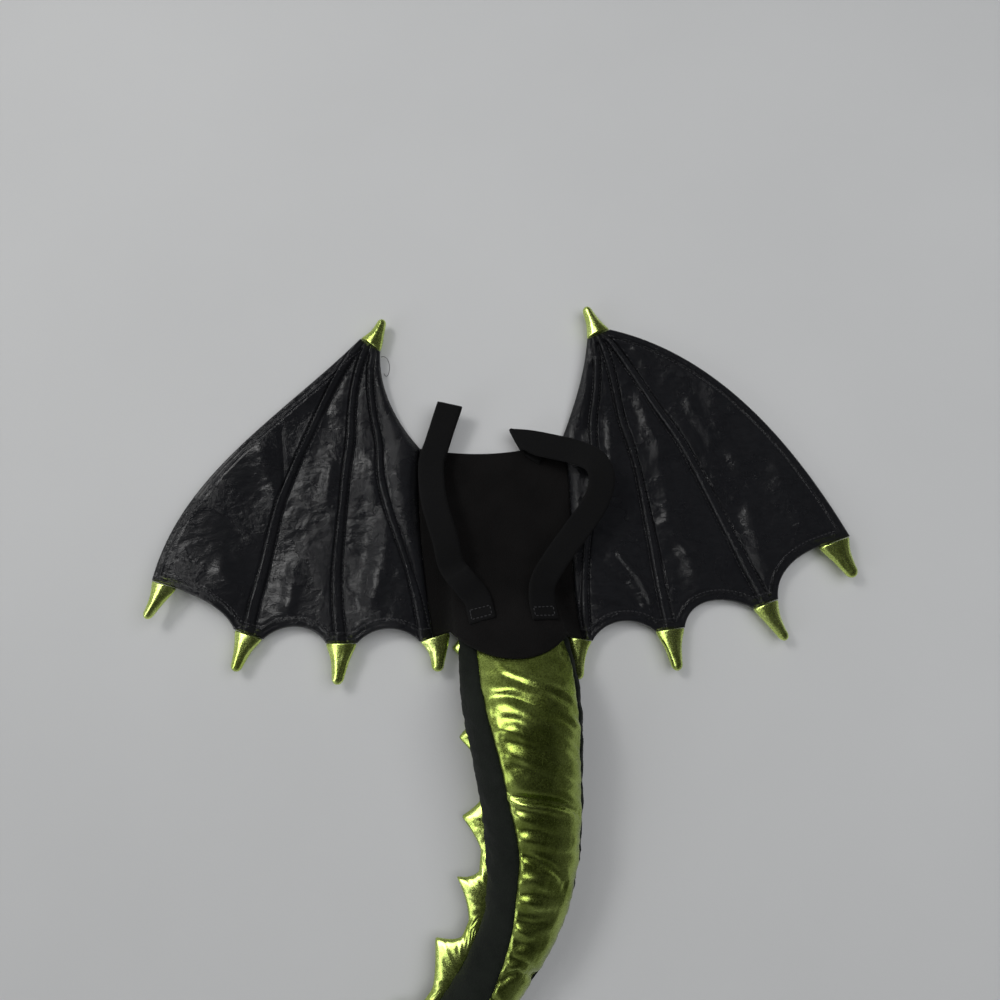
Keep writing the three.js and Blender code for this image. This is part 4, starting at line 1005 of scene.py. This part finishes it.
def strap_run(table, side, count):
    """Sections of a band along a table: place, direction across it and lean."""
    keyed = [{"at": k / (len(table) - 1), "x": row["across"] * PANEL_WIDTH, "y": row["up"] * PANEL_HEIGHT,
              "rise": row["rise"] * STRAP_RISE, "heading": row["heading"], "lean": row["lean"]}
             for k, row in enumerate(table)]
    sections = []
    for at in np.linspace(0, 1, count + 1):
        plan = np.array([float(follow(keyed, "x", at)), float(follow(keyed, "y", at))])
        turned = unit(float(follow(keyed, "heading", at)) + side * 90)
        rise = max(0.0, float(follow(keyed, "rise", at)))
        ends = np.array([-1, -0.5, 0, 0.5, 1]) * STRAP_WIDTH / 2
        below = panel_height(plan + ends[:, None] * turned)
        slope = (below[4] - below[0]) / STRAP_WIDTH * max(0.0, 1 - rise / STRAP_RISE)
        floor = max(below - slope * ends)
        z = floor + (PANEL_THICKNESS + STRAP_THICKNESS) / 2 * math.hypot(1, slope) + STRAP_EASE + rise
        wide = np.array([turned[0], turned[1], slope])
        lean = math.radians(side * float(follow(keyed, "lean", at)))
        sections.append((np.array([plan[0], plan[1], z]), wide / np.linalg.norm(wide), lean))
    return sections


def fold_sections(origin, heading_in, heading_out, count=14):
    """Sections of the roll where a band folds back on itself at a slant."""
    line = (heading_in + heading_out) / 2
    slant = math.radians(heading_in - line)
    fold, across = unit(line), unit(line + 90)
    sections = []
    for k in range(1, count):
        angle = k / count * math.pi

        def roll(amount, sideways, height):
            return np.array([*(fold * amount + across * sideways), height])

        place = origin + roll(FOLD_RADIUS * angle / math.tan(slant), FOLD_RADIUS * math.sin(angle),
                              FOLD_RADIUS * (1 - math.cos(angle)))
        wide = roll(math.sin(slant), -math.cos(slant) * math.cos(angle), -math.cos(slant) * math.sin(angle))
        sections.append((place, wide, None))
    return sections


def build_strap(name, table):
    first = strap_run(table["sewn"], -1, 14)
    lean = table["sewn"][-1]["lean"]
    fold = fold_sections(first[-1][0], table["sewn"][-1]["heading"] + lean, table["run"][0]["heading"] + lean)
    rest = strap_run(table["run"], 1, 120)
    shift = fold[-1][0] - rest[0][0]
    rest = [(place + shift * max(0, 1 - k / 28), wide, lean) for k, (place, wide, lean) in enumerate(rest)]
    sections = first + fold + rest[1:]
    places = np.array([s[0] for s in sections])
    wides = np.array([s[1] for s in sections])
    folded = np.array([s[2] is None for s in sections])[:, None]
    leans = np.array([s[2] or 0.0 for s in sections])[:, None]
    way = unit_rows(np.gradient(places, axis=0))
    across = unit_rows(wides - np.where(folded, 0, (wides * way).sum(axis=1)[:, None]) * way)
    through = unit_rows(np.cross(way, across))
    across = across * np.cos(leans) + np.cross(through, across) * np.sin(leans)
    length = np.concatenate([[0], np.cumsum(np.linalg.norm(np.diff(places, axis=0), axis=1))])
    count = 13
    ends = np.linspace(-1, 1, count)
    half = STRAP_THICKNESS / 2 * (1 - 0.45 * np.abs(ends) ** 6)
    wave = 0.25 * np.sin(length / 9.0)[:, None] * (ends[None, :] ** 2)
    band = places[:, None] + across[:, None] * (ends * STRAP_WIDTH / 2)[None, :, None]
    upper = band + through[:, None] * (half[None, :] + wave)[..., None]
    lower = band - through[:, None] * (half[None, :] - wave)[..., None]
    points, faces = quilt(upper, lower)
    # The band turns over, so its volume tells which way its faces look
    if inside_out(points, faces):
        faces = faces[:, ::-1]
    values = {"along_mm": np.tile(np.repeat(length, count), 2),
              "across_mm": np.tile(ends * STRAP_WIDTH / 2, 2 * len(length))}
    piece = make(name, points, faces, WEBBING, values)
    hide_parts(name)
    return places, across, through


left_band = build_strap("strap_left", LEFT_STRAP)
right_band = build_strap("strap_right", RIGHT_STRAP)


def strap_stitches(name, band):
    """A box of stitches where a strap is sewn to the panel."""
    places, across, through = band
    at = np.concatenate([[0], np.cumsum(np.linalg.norm(np.diff(places, axis=0), axis=1))])
    up = STRAP_THICKNESS / 2 + 0.1

    def spot(before_end, wide):
        k = int(np.argmin(np.abs(at - (at[-1] - before_end))))
        normal = through[k] * np.sign(through[k][2])
        return places[k] + across[k] * wide + normal * up

    corners = [spot(3.5, -9.5), spot(3.5, 9.5), spot(13, 9.5), spot(13, -9.5), spot(3.5, -9.5)]
    sew(name, list(zip(corners[:-1], corners[1:])), 3.2)


strap_stitches("stitches_strap_left", left_band)
strap_stitches("stitches_strap_right", right_band)

# A loose thread end below the left wing's upper claw
ends = np.array([(-107, 284, 4.5), (-101.5, 282, 6.5), (-99, 276, 7), (-98.6, 268, 5.5), (-101.5, 263.5, 4),
                 (-104.6, 266, 4)])
steps = np.linspace(0, 1, len(ends))
smooth = np.linspace(0, 1, 26)
thread = joined(*(np.polyval(np.polyfit(steps, column, 4), smooth) for column in ends.T))
points, faces = tube(thread, np.full(26, 0.3))
make("loose_thread", points, faces, THREAD_WITH_PAINTED_GLINTS)


# Folds of the belly: width and height in millimetres (below nought a groove), then places as a share of
# TAIL_LENGTH and degrees round the section
TAIL_FOLDS = [
    (2, 1.5, (0.1262, 110), (0.1377, 107), (0.1484, 98), (0.1598, 81), (0.1746, 57), (0.2016, 27)),
    (3, -1.6, (0.1352, 110), (0.15, 102), (0.1648, 84), (0.1803, 61), (0.2066, 34)),
    (6, 2.2, (0.1615, 127), (0.168, 106), (0.1689, 87)),
    (3.5, -1.9, (0.177, 127), (0.1762, 101), (0.1869, 89), (0.2025, 72)),
    (7, 2, (0.1926, 122), (0.1951, 103), (0.2074, 86), (0.2287, 68.5)),
    (4, -1.7, (0.2107, 118), (0.2098, 99), (0.2221, 84.5), (0.2418, 72.5)),
    (7.5, 2.4, (0.2197, 114), (0.2238, 95), (0.2361, 85.5)),
    (4, -1.9, (0.232, 115), (0.2418, 99.5), (0.2516, 81.5), (0.2721, 65)),
    (7, 2.2, (0.2508, 113), (0.2566, 98), (0.2746, 83)),
    (5, -1.6, (0.273, 118), (0.2689, 102), (0.2836, 83.5), (0.3008, 66.5)),
    (9, 1.4, (0.2918, 116), (0.291, 95.5), (0.3066, 73)),
    (5, 1.3, (0.1574, 86), (0.1844, 64.5), (0.2123, 40), (0.2402, 23)),
    (2.6, -1.3, (0.2098, 16), (0.191, 45.5), (0.182, 62.5)),
    (2.6, -1.2, (0.227, 19.5), (0.2074, 45.5), (0.1984, 58.5)),
    (2.6, -1.3, (0.2443, 19.5), (0.223, 45), (0.2131, 55)),
    (2.6, -1.1, (0.2623, 20), (0.2443, 42), (0.2352, 53.5)),
    (2.6, -1.2, (0.2803, 20.5), (0.2623, 40.5), (0.2549, 50.5)),
    (2.6, -1.5, (0.309, 21), (0.2934, 43.5), (0.2828, 57)),
    (2.6, -1.5, (0.3238, 18), (0.309, 44), (0.2975, 63)),
    (2.6, -1.2, (0.1254, 25.5), (0.1385, 37.5), (0.1459, 52)),
    (2.6, -1, (0.1443, 23), (0.1533, 37.5), (0.1566, 54)),
    (3.4, -5.2, (0.309, 116), (0.3131, 103), (0.3189, 79.5), (0.3287, 53), (0.3426, 26)),
    (2.2, 2.6, (0.3156, 116), (0.323, 97.5), (0.3303, 74), (0.3443, 39)),
    (2.4, -1.4, (0.3287, 116), (0.3311, 101), (0.3369, 80.5), (0.3484, 53)),
    (9, 2.6, (0.341, 114), (0.341, 98.5), (0.3467, 83.5)),
    (4.2, -2.4, (0.3566, 116), (0.3566, 96), (0.3672, 67.5), (0.373, 43)),
    (6.5, 2.2, (0.3689, 114), (0.3697, 96.5), (0.3738, 81)),
    (4, -1.8, (0.3811, 113), (0.3828, 93.5), (0.391, 59), (0.3918, 27.5)),
    (3.4, -5.4, (0.391, 109), (0.3951, 93), (0.4057, 69), (0.4254, 43.5)),
    (2.4, 2.8, (0.3967, 106), (0.3992, 86.5), (0.4131, 64), (0.4238, 49.5)),
    (3, -2, (0.409, 106), (0.4139, 85.5), (0.4254, 62), (0.4352, 34)),
    (8, 2.6, (0.4254, 109), (0.4205, 84.5), (0.427, 69.5)),
    (4, -2.4, (0.441, 108), (0.4385, 82.5), (0.4418, 49)),
    (5.5, 2, (0.4557, 108), (0.45, 87.5), (0.4525, 68)),
    (4, -2.2, (0.468, 106), (0.4648, 80.5), (0.4598, 50)),
    (3, -2.8, (0.4811, 107), (0.4787, 80), (0.4705, 55)),
    (4.5, 2.2, (0.4926, 104), (0.491, 88), (0.4975, 67)),
    (4.5, -2.6, (0.5123, 97), (0.5025, 78.5), (0.4951, 56)),
    (8, 1.6, (0.5238, 94.5), (0.5123, 77.5), (0.5115, 52)),
    (3, -3.4, (0.5311, 94.5), (0.5262, 73.5), (0.5434, -0.5)),
    (6, 2.6, (0.5426, 90), (0.5328, 74), (0.5377, 50)),
    (3, -3.4, (0.5697, 91), (0.5402, 73.5), (0.5443, -3)),
    (3.2, -3.4, (0.585, 92), (0.592, 62), (0.604, 22)), (7, 2.2, (0.606, 84), (0.612, 55)),
    (3.0, -3.0, (0.63, 78), (0.64, 50), (0.646, 14)), (6, 2.0, (0.655, 72), (0.66, 44)),
    (3.0, -2.6, (0.68, 68), (0.69, 40), (0.694, 8)), (5, 1.8, (0.71, 64), (0.716, 36)),
    (2.6, -2.2, (0.735, 62), (0.745, 34), (0.75, 4)), (2.6, -2.0, (0.79, 60), (0.8, 28), (0.806, 0)),
    (2.4, -1.6, (0.85, 58), (0.858, 24)),
]


def fold_relief(distances, degrees, half_width):
    """Height of the belly's folds, which fade towards their ends."""
    girth = (degrees - 90) * math.pi / 180 * half_width
    field = joined(distances[:, None] + 0 * degrees, girth)
    total = np.zeros(degrees.shape)
    for width, height, *places in TAIL_FOLDS:
        at = np.array(places, float)
        s = at[:, 0] * TAIL_LENGTH
        local = tail_sizes(s)["half_width"]
        curve = Path(joined(s, (at[:, 1] - 90) * math.pi / 180 * local))
        away, along = distance_to(field, curve.at(np.linspace(0, 1, 9)))
        share = along / curve.length
        fade = np.clip(np.sin(math.pi * np.clip(share, 0.04, 0.96)), 0, 1) ** 0.45
        total += height * fade * bell(away, 0, width)
    return total


def tail_skin(distances, degrees):
    """Points on the tail's surface, the directions outwards there, and the tail's sizes."""
    sizes = tail_sizes(distances)
    place, aside = tail_line(distances)
    angle = np.radians(degrees)
    hw, hd = sizes["half_width"][:, None], sizes["half_depth"][:, None]
    sideways = hw * np.cos(angle)
    height = hd * (1 - TAIL_FLATTENED) + hd * np.sin(angle)
    points = joined(place[:, None, 0] + aside[:, None, 0] * sideways,
                    place[:, None, 1] + aside[:, None, 1] * sideways, height)
    out_side = np.cos(angle) / np.maximum(hw, 1e-6)
    out_up = np.sin(angle) / np.maximum(hd, 1e-6)
    scale = np.hypot(out_side, out_up)
    normal = joined(aside[:, None, 0] * out_side / scale, aside[:, None, 1] * out_side / scale, out_up / scale)
    return points, normal, sizes


def tail_relief(distances, degrees, sizes):
    """How far the cover stands proud of the smooth tail, in millimetres."""
    s = distances[:, None] + 0 * degrees
    left, right, ridge = (sizes[key][:, None] for key in ("left", "right", "ridge"))
    turned = np.where(degrees > ridge, degrees - 360, degrees)
    middle = (left + right) / 2
    belly = 1 - smoothstep(np.abs(turned - middle), (left - right) / 2 - 3, (left - right) / 2 + 3)
    hw = sizes["half_width"][:, None]

    def seam_distance(where):
        return np.abs((degrees - where + 180) % 360 - 180) * math.pi / 180 * hw * 0.9

    at_left, at_right, at_ridge = seam_distance(left), seam_distance(right), seam_distance(ridge)
    nearest = np.minimum(np.minimum(at_left, at_right), at_ridge)
    strength = np.clip(hw / 40, 0.2, 1)
    valley = -1.3 * bell(nearest, 0, 1.5) + 0.7 * (1 - np.exp(-nearest / 6))
    girth = turned * math.pi / 180 * hw
    # Puckers that start at the seams and die out across the panels
    field = joined(s / 7.5, girth / 34, 0 * s)
    pucker = fractal(field, 41, 2) * (0.9 * np.exp(-at_left / 8) + 1.6 * np.exp(-at_right / 7)
                                      + 0.9 * np.exp(-at_ridge / 8))
    # Slanting drags across the belly, stretched down to the right
    slant = (s + 0.4 * girth) / 15.0
    drag = fractal(joined(slant, (girth - 0.3 * s) / 55, 0 * s), 52, 3)
    plain = 1.5 * fractal(joined(s / 13 + girth / 60, girth / 30, 0 * s), 63, 3)
    gathers = strength * (valley + pucker + belly * drag + (1 - belly) * plain)
    return gathers + fold_relief(distances, turned, hw) * smoothstep(belly, 0, 1)


def build_tail():
    distances = np.concatenate([[0.0], np.arange(1.0, TAIL_LENGTH, 2.2), [TAIL_LENGTH]])
    sizes = tail_sizes(distances)
    for name, low, high, count, material, slot in (
            ("tail_belly", sizes["right"], sizes["left"], 64, LAME, "lame"),
            ("tail_side_left", sizes["left"], sizes["ridge"], 48, SIDE_KNIT, "plush"),
            ("tail_side_right", sizes["ridge"], sizes["right"] + 360, 56, SIDE_KNIT, "plush")):
        share = np.linspace(0, 1, count)
        share = share - 0.06 * np.sin(2 * math.pi * share)
        degrees = low[:, None] + (high - low)[:, None] * share[None, :]
        points, normal, sized = tail_skin(distances, degrees)
        relief = tail_relief(distances, degrees, sized)
        relief *= smoothstep(distances, 0, 20)[:, None] * smoothstep(TAIL_LENGTH - distances, 0, 30)[:, None]
        points = points + normal * relief[..., None]
        points[..., 2] = np.maximum(points[..., 2], CLEAR)
        place, aside = tail_line(distances)
        bisector = np.radians((low + high) / 2)
        shift = GAP / 2 / np.sin(np.radians(high - low) / 2)
        offset = joined(aside[:, 0] * np.cos(bisector), aside[:, 1] * np.cos(bisector), np.sin(bisector))
        centre = joined(place[:, 0], place[:, 1], sized["half_depth"] * (1 - TAIL_FLATTENED))
        ring = np.concatenate([centre[:, None], points], axis=1) + (offset * shift[:, None])[:, None]
        ring[..., 2] = np.maximum(ring[..., 2], CLEAR)
        flat = ring.reshape(-1, 3)
        faces = tube_faces(len(distances), count + 1)
        if inside_out(flat, grid_faces(len(distances), count + 1, closed=True)):
            faces = [face[::-1] for face in faces]
        piece = make(name, flat, faces, material)
        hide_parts(name)


build_tail()


def build_ridge():
    first, last = SPIKES[0], SPIKES[-1]
    begin = first["at"] * TAIL_LENGTH - SPIKE_BASE / 2 * max(first["size"], 0.6)
    end = last["at"] * TAIL_LENGTH + SPIKE_BASE / 2 * max(last["size"], 0.6)
    distances = np.arange(begin, end, 1.6)
    sized = tail_sizes(distances)
    place, aside = tail_line(distances)
    clamped = np.clip(distances / TAIL_LENGTH, first["at"], last["at"])
    size = follow(SPIKES, "size", clamped)
    tips = np.array([row["at"] * TAIL_LENGTH for row in SPIKES])
    nearest = np.abs(distances[:, None] - tips[None, :]).argmin(axis=1)
    from_tip = distances - tips[nearest]
    lean_mm = 4 + 5 * smoothstep(sized["at"], 0.3, 0.5)
    from_tip = from_tip - lean_mm * 0.45
    x = np.abs(from_tip) / (SPIKE_BASE / 2) / np.maximum(size, 0.6)
    spike = np.maximum(0, 1 - np.sqrt(x * x + 0.004)) ** 1.3
    height = size * (RIDGE_STRIP + SPIKE_HEIGHT * spike * 1.12)
    taper = np.clip(np.minimum(distances - begin, end - distances) / 6, 0.05, 1)
    height = height * taper
    seam = np.radians(sized["ridge"])
    lean = np.radians(186 + 5 * smoothstep(sized["at"], 0.3, 0.6))
    thickness = RIDGE_THICKNESS * np.minimum(1, 0.45 + height / SPIKE_HEIGHT / 2)
    thickness *= 1 - 0.5 * smoothstep(sized["at"], 0.6, 1)
    count = 26
    w = np.linspace(0, 1, count)
    lens = np.sqrt(np.clip(1 - (2 * w - 0.92) ** 2 / 1.17, 0, 1)) * 0.5
    lens[-1] = 0.03
    lens[0] = 0.28
    grids = []
    for sign in (1, -1):
        along = sized["half_width"][:, None] * np.cos(seam)[:, None]
        along = along + w * height[:, None] * np.cos(lean)[:, None]
        z = sized["half_depth"][:, None] * (1 - TAIL_FLATTENED + np.sin(seam)[:, None])
        z = z + w * height[:, None] * np.sin(lean)[:, None]
        # The tips lean back towards the root
        back = joined(-aside[:, 1], aside[:, 0])
        lean_back = (lean_mm * spike)[:, None] * w ** 1.5
        xy = place[:, None] + aside[:, None] * along[..., None] + back[:, None] * lean_back[..., None]
        # Creases fan out from the seam below each tip
        fan = from_tip[:, None] / (0.4 + 0.75 * w) / 5.5
        radial = joined(fan, w * 0.8 + 0 * fan, sign * 3 + nearest[:, None] * 5.3 + 0 * fan)
        crease = fractal(radial, 77, 1) * np.sin(math.pi * np.clip(w, 0.02, 1)) ** 0.6
        up = sign * (thickness[:, None] * lens + crease * 0.9 * np.minimum(1, size[:, None]))
        grids.append((xy, z + up))
    base = np.maximum(0, 0.2 - np.minimum(grids[0][1], grids[1][1]).min(axis=1))
    layers = [np.concatenate([xy, (z + base[:, None])[..., None]], axis=-1) for xy, z in grids]
    layers[1][..., 2] = np.minimum(layers[1][..., 2], layers[0][..., 2] - 0.15)
    points, faces = quilt(layers[0], layers[1])
    piece = make("tail_ridge", points, faces, RIDGE_LAME_PAINTED_LIGHTER)
    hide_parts("tail_ridge")


build_ridge()


# The cloth reaches this far to each side, a little below the part, in metres
FLOOR_REACH = 4.0
FLOOR_DROP = 0.0004


def build_floor():
    mesh = bpy.data.meshes.new("floor")
    corners = [(x * FLOOR_REACH, y * FLOOR_REACH, -FLOOR_DROP) for x, y in ((-1, -1), (1, -1), (1, 1), (-1, 1))]
    mesh.from_pydata(corners, [], [(0, 1, 2, 3)])
    look = Surface("pale_cloth")
    cloth = look.noise(3.5, Detail=4, Roughness=0.5)
    look.set("Base Color", look.blend((0.6, 0.605, 0.61), (0.66, 0.665, 0.67), cloth))
    look.bump(look.noise(500, Detail=3), 0.0003, 0.2)
    look.set("Roughness", 0.9)
    look.set("Specular IOR Level", 0.2)
    mesh.materials.append(look.material)
    piece = bpy.data.objects.new("floor", mesh)
    bpy.context.scene.collection.objects.link(piece)


build_floor()

WARM, COOL = (1.0, 0.995, 0.98), (0.98, 0.99, 1.0)
GREEN = ("claw_", "tail_belly", "tail_ridge")
# Where a light stands from the costume's middle and its size, in metres, and what it reaches
LIGHTS = rows("name place size power colour reaches glossy",
              ("key", (-1.15, 0.97, 1.57), (0.56, 0.46), 8, WARM, "the rest", True),
              ("key_green", (-0.93, 0.8, 1.7), (1.4, 1.1), 31, WARM, GREEN, True),
              ("side", (-1.3, -0.1, 1.5), (1.2, 0.75), 8, WARM, ("claw_", "tail_ridge"), True),
              ("soft", (-1.0, 0.85, 1.7), (1.5, 1.3), 8, WARM, "all", False),
              ("fill", (1.1, 0.2, 2.2), (2.4, 2.4), 34, COOL, "all", False),
              ("window", (-2.0, -1.0, 0.9), (0.4, 1.4), 6, COOL, "all", True))


def add_light(row, centre):
    data = bpy.data.lights.new(row["name"], "AREA")
    data.shape = "RECTANGLE"
    data.size, data.size_y = row["size"]
    data.energy = row["power"]
    data.color = row["colour"]
    light = bpy.data.objects.new(row["name"], data)
    light.location = centre + Vector(row["place"])
    light.rotation_euler = (centre - light.location).to_track_quat("-Z", "Y").to_euler()
    light.visible_glossy = row["glossy"]
    bpy.context.scene.collection.objects.link(light)
    if row["reaches"] != "all":
        group = bpy.data.collections.new(row["name"] + "_reaches")
        for piece in bpy.data.objects:
            green = piece.name.startswith(GREEN)
            wanted = not green if row["reaches"] == "the rest" else piece.name.startswith(row["reaches"])
            if piece.type == "MESH" and wanted:
                group.objects.link(piece)
        light.light_linking.receiver_collection = group


for row in LIGHTS:
    add_light(row, Vector((SHIFT[0] * MM, (50 + SHIFT[1]) * MM, 0)))

# The room: dim overhead and on the right, brighter towards the walls
world = bpy.data.worlds.new("studio")
bpy.context.scene.world = world
world.use_nodes = True
room = Wiring(world.node_tree)
back = room.tree.nodes["Background"]
back.inputs["Strength"].default_value = 1.0
split = room.tree.nodes.new("ShaderNodeSeparateXYZ")
room.feed(split.inputs[0], room.tree.nodes.new("ShaderNodeTexCoord").outputs["Generated"])
ring = room.remap(split.outputs["Z"], 0.3, 0.8, 0.4, 0.015)
slope = room.remap(split.outputs["X"], -0.75, 0.2, 1.0, 0.2)
room.feed(back.inputs["Color"], room.blend((0.0, 0.0, 0.0), (0.985, 0.992, 1.0), room.times(ring, slope)))

# The camera stands over the costume and looks a little up the picture, in millimetres
STAND = (-5, -28, 730)
PITCH, ROLL = math.radians(12.0), math.radians(3.8)
forward = Vector((math.sin(PITCH) * math.sin(ROLL), math.sin(PITCH) * math.cos(ROLL), -math.cos(PITCH)))
right = Vector((math.cos(ROLL), -math.sin(ROLL), 0))
above = right.cross(forward)
data = bpy.data.cameras.new("camera")
data.sensor_width = 36
data.lens = 27.04
data.clip_start = 0.01
camera = bpy.data.objects.new("camera", data)
turned = Matrix((right, above, -forward)).transposed().to_4x4()
camera.matrix_world = Matrix.Translation(Vector(to_frame(STAND))) @ turned
bpy.context.scene.collection.objects.link(camera)
bpy.context.scene.camera = camera
bpy.context.scene.view_settings.view_transform = "Standard"
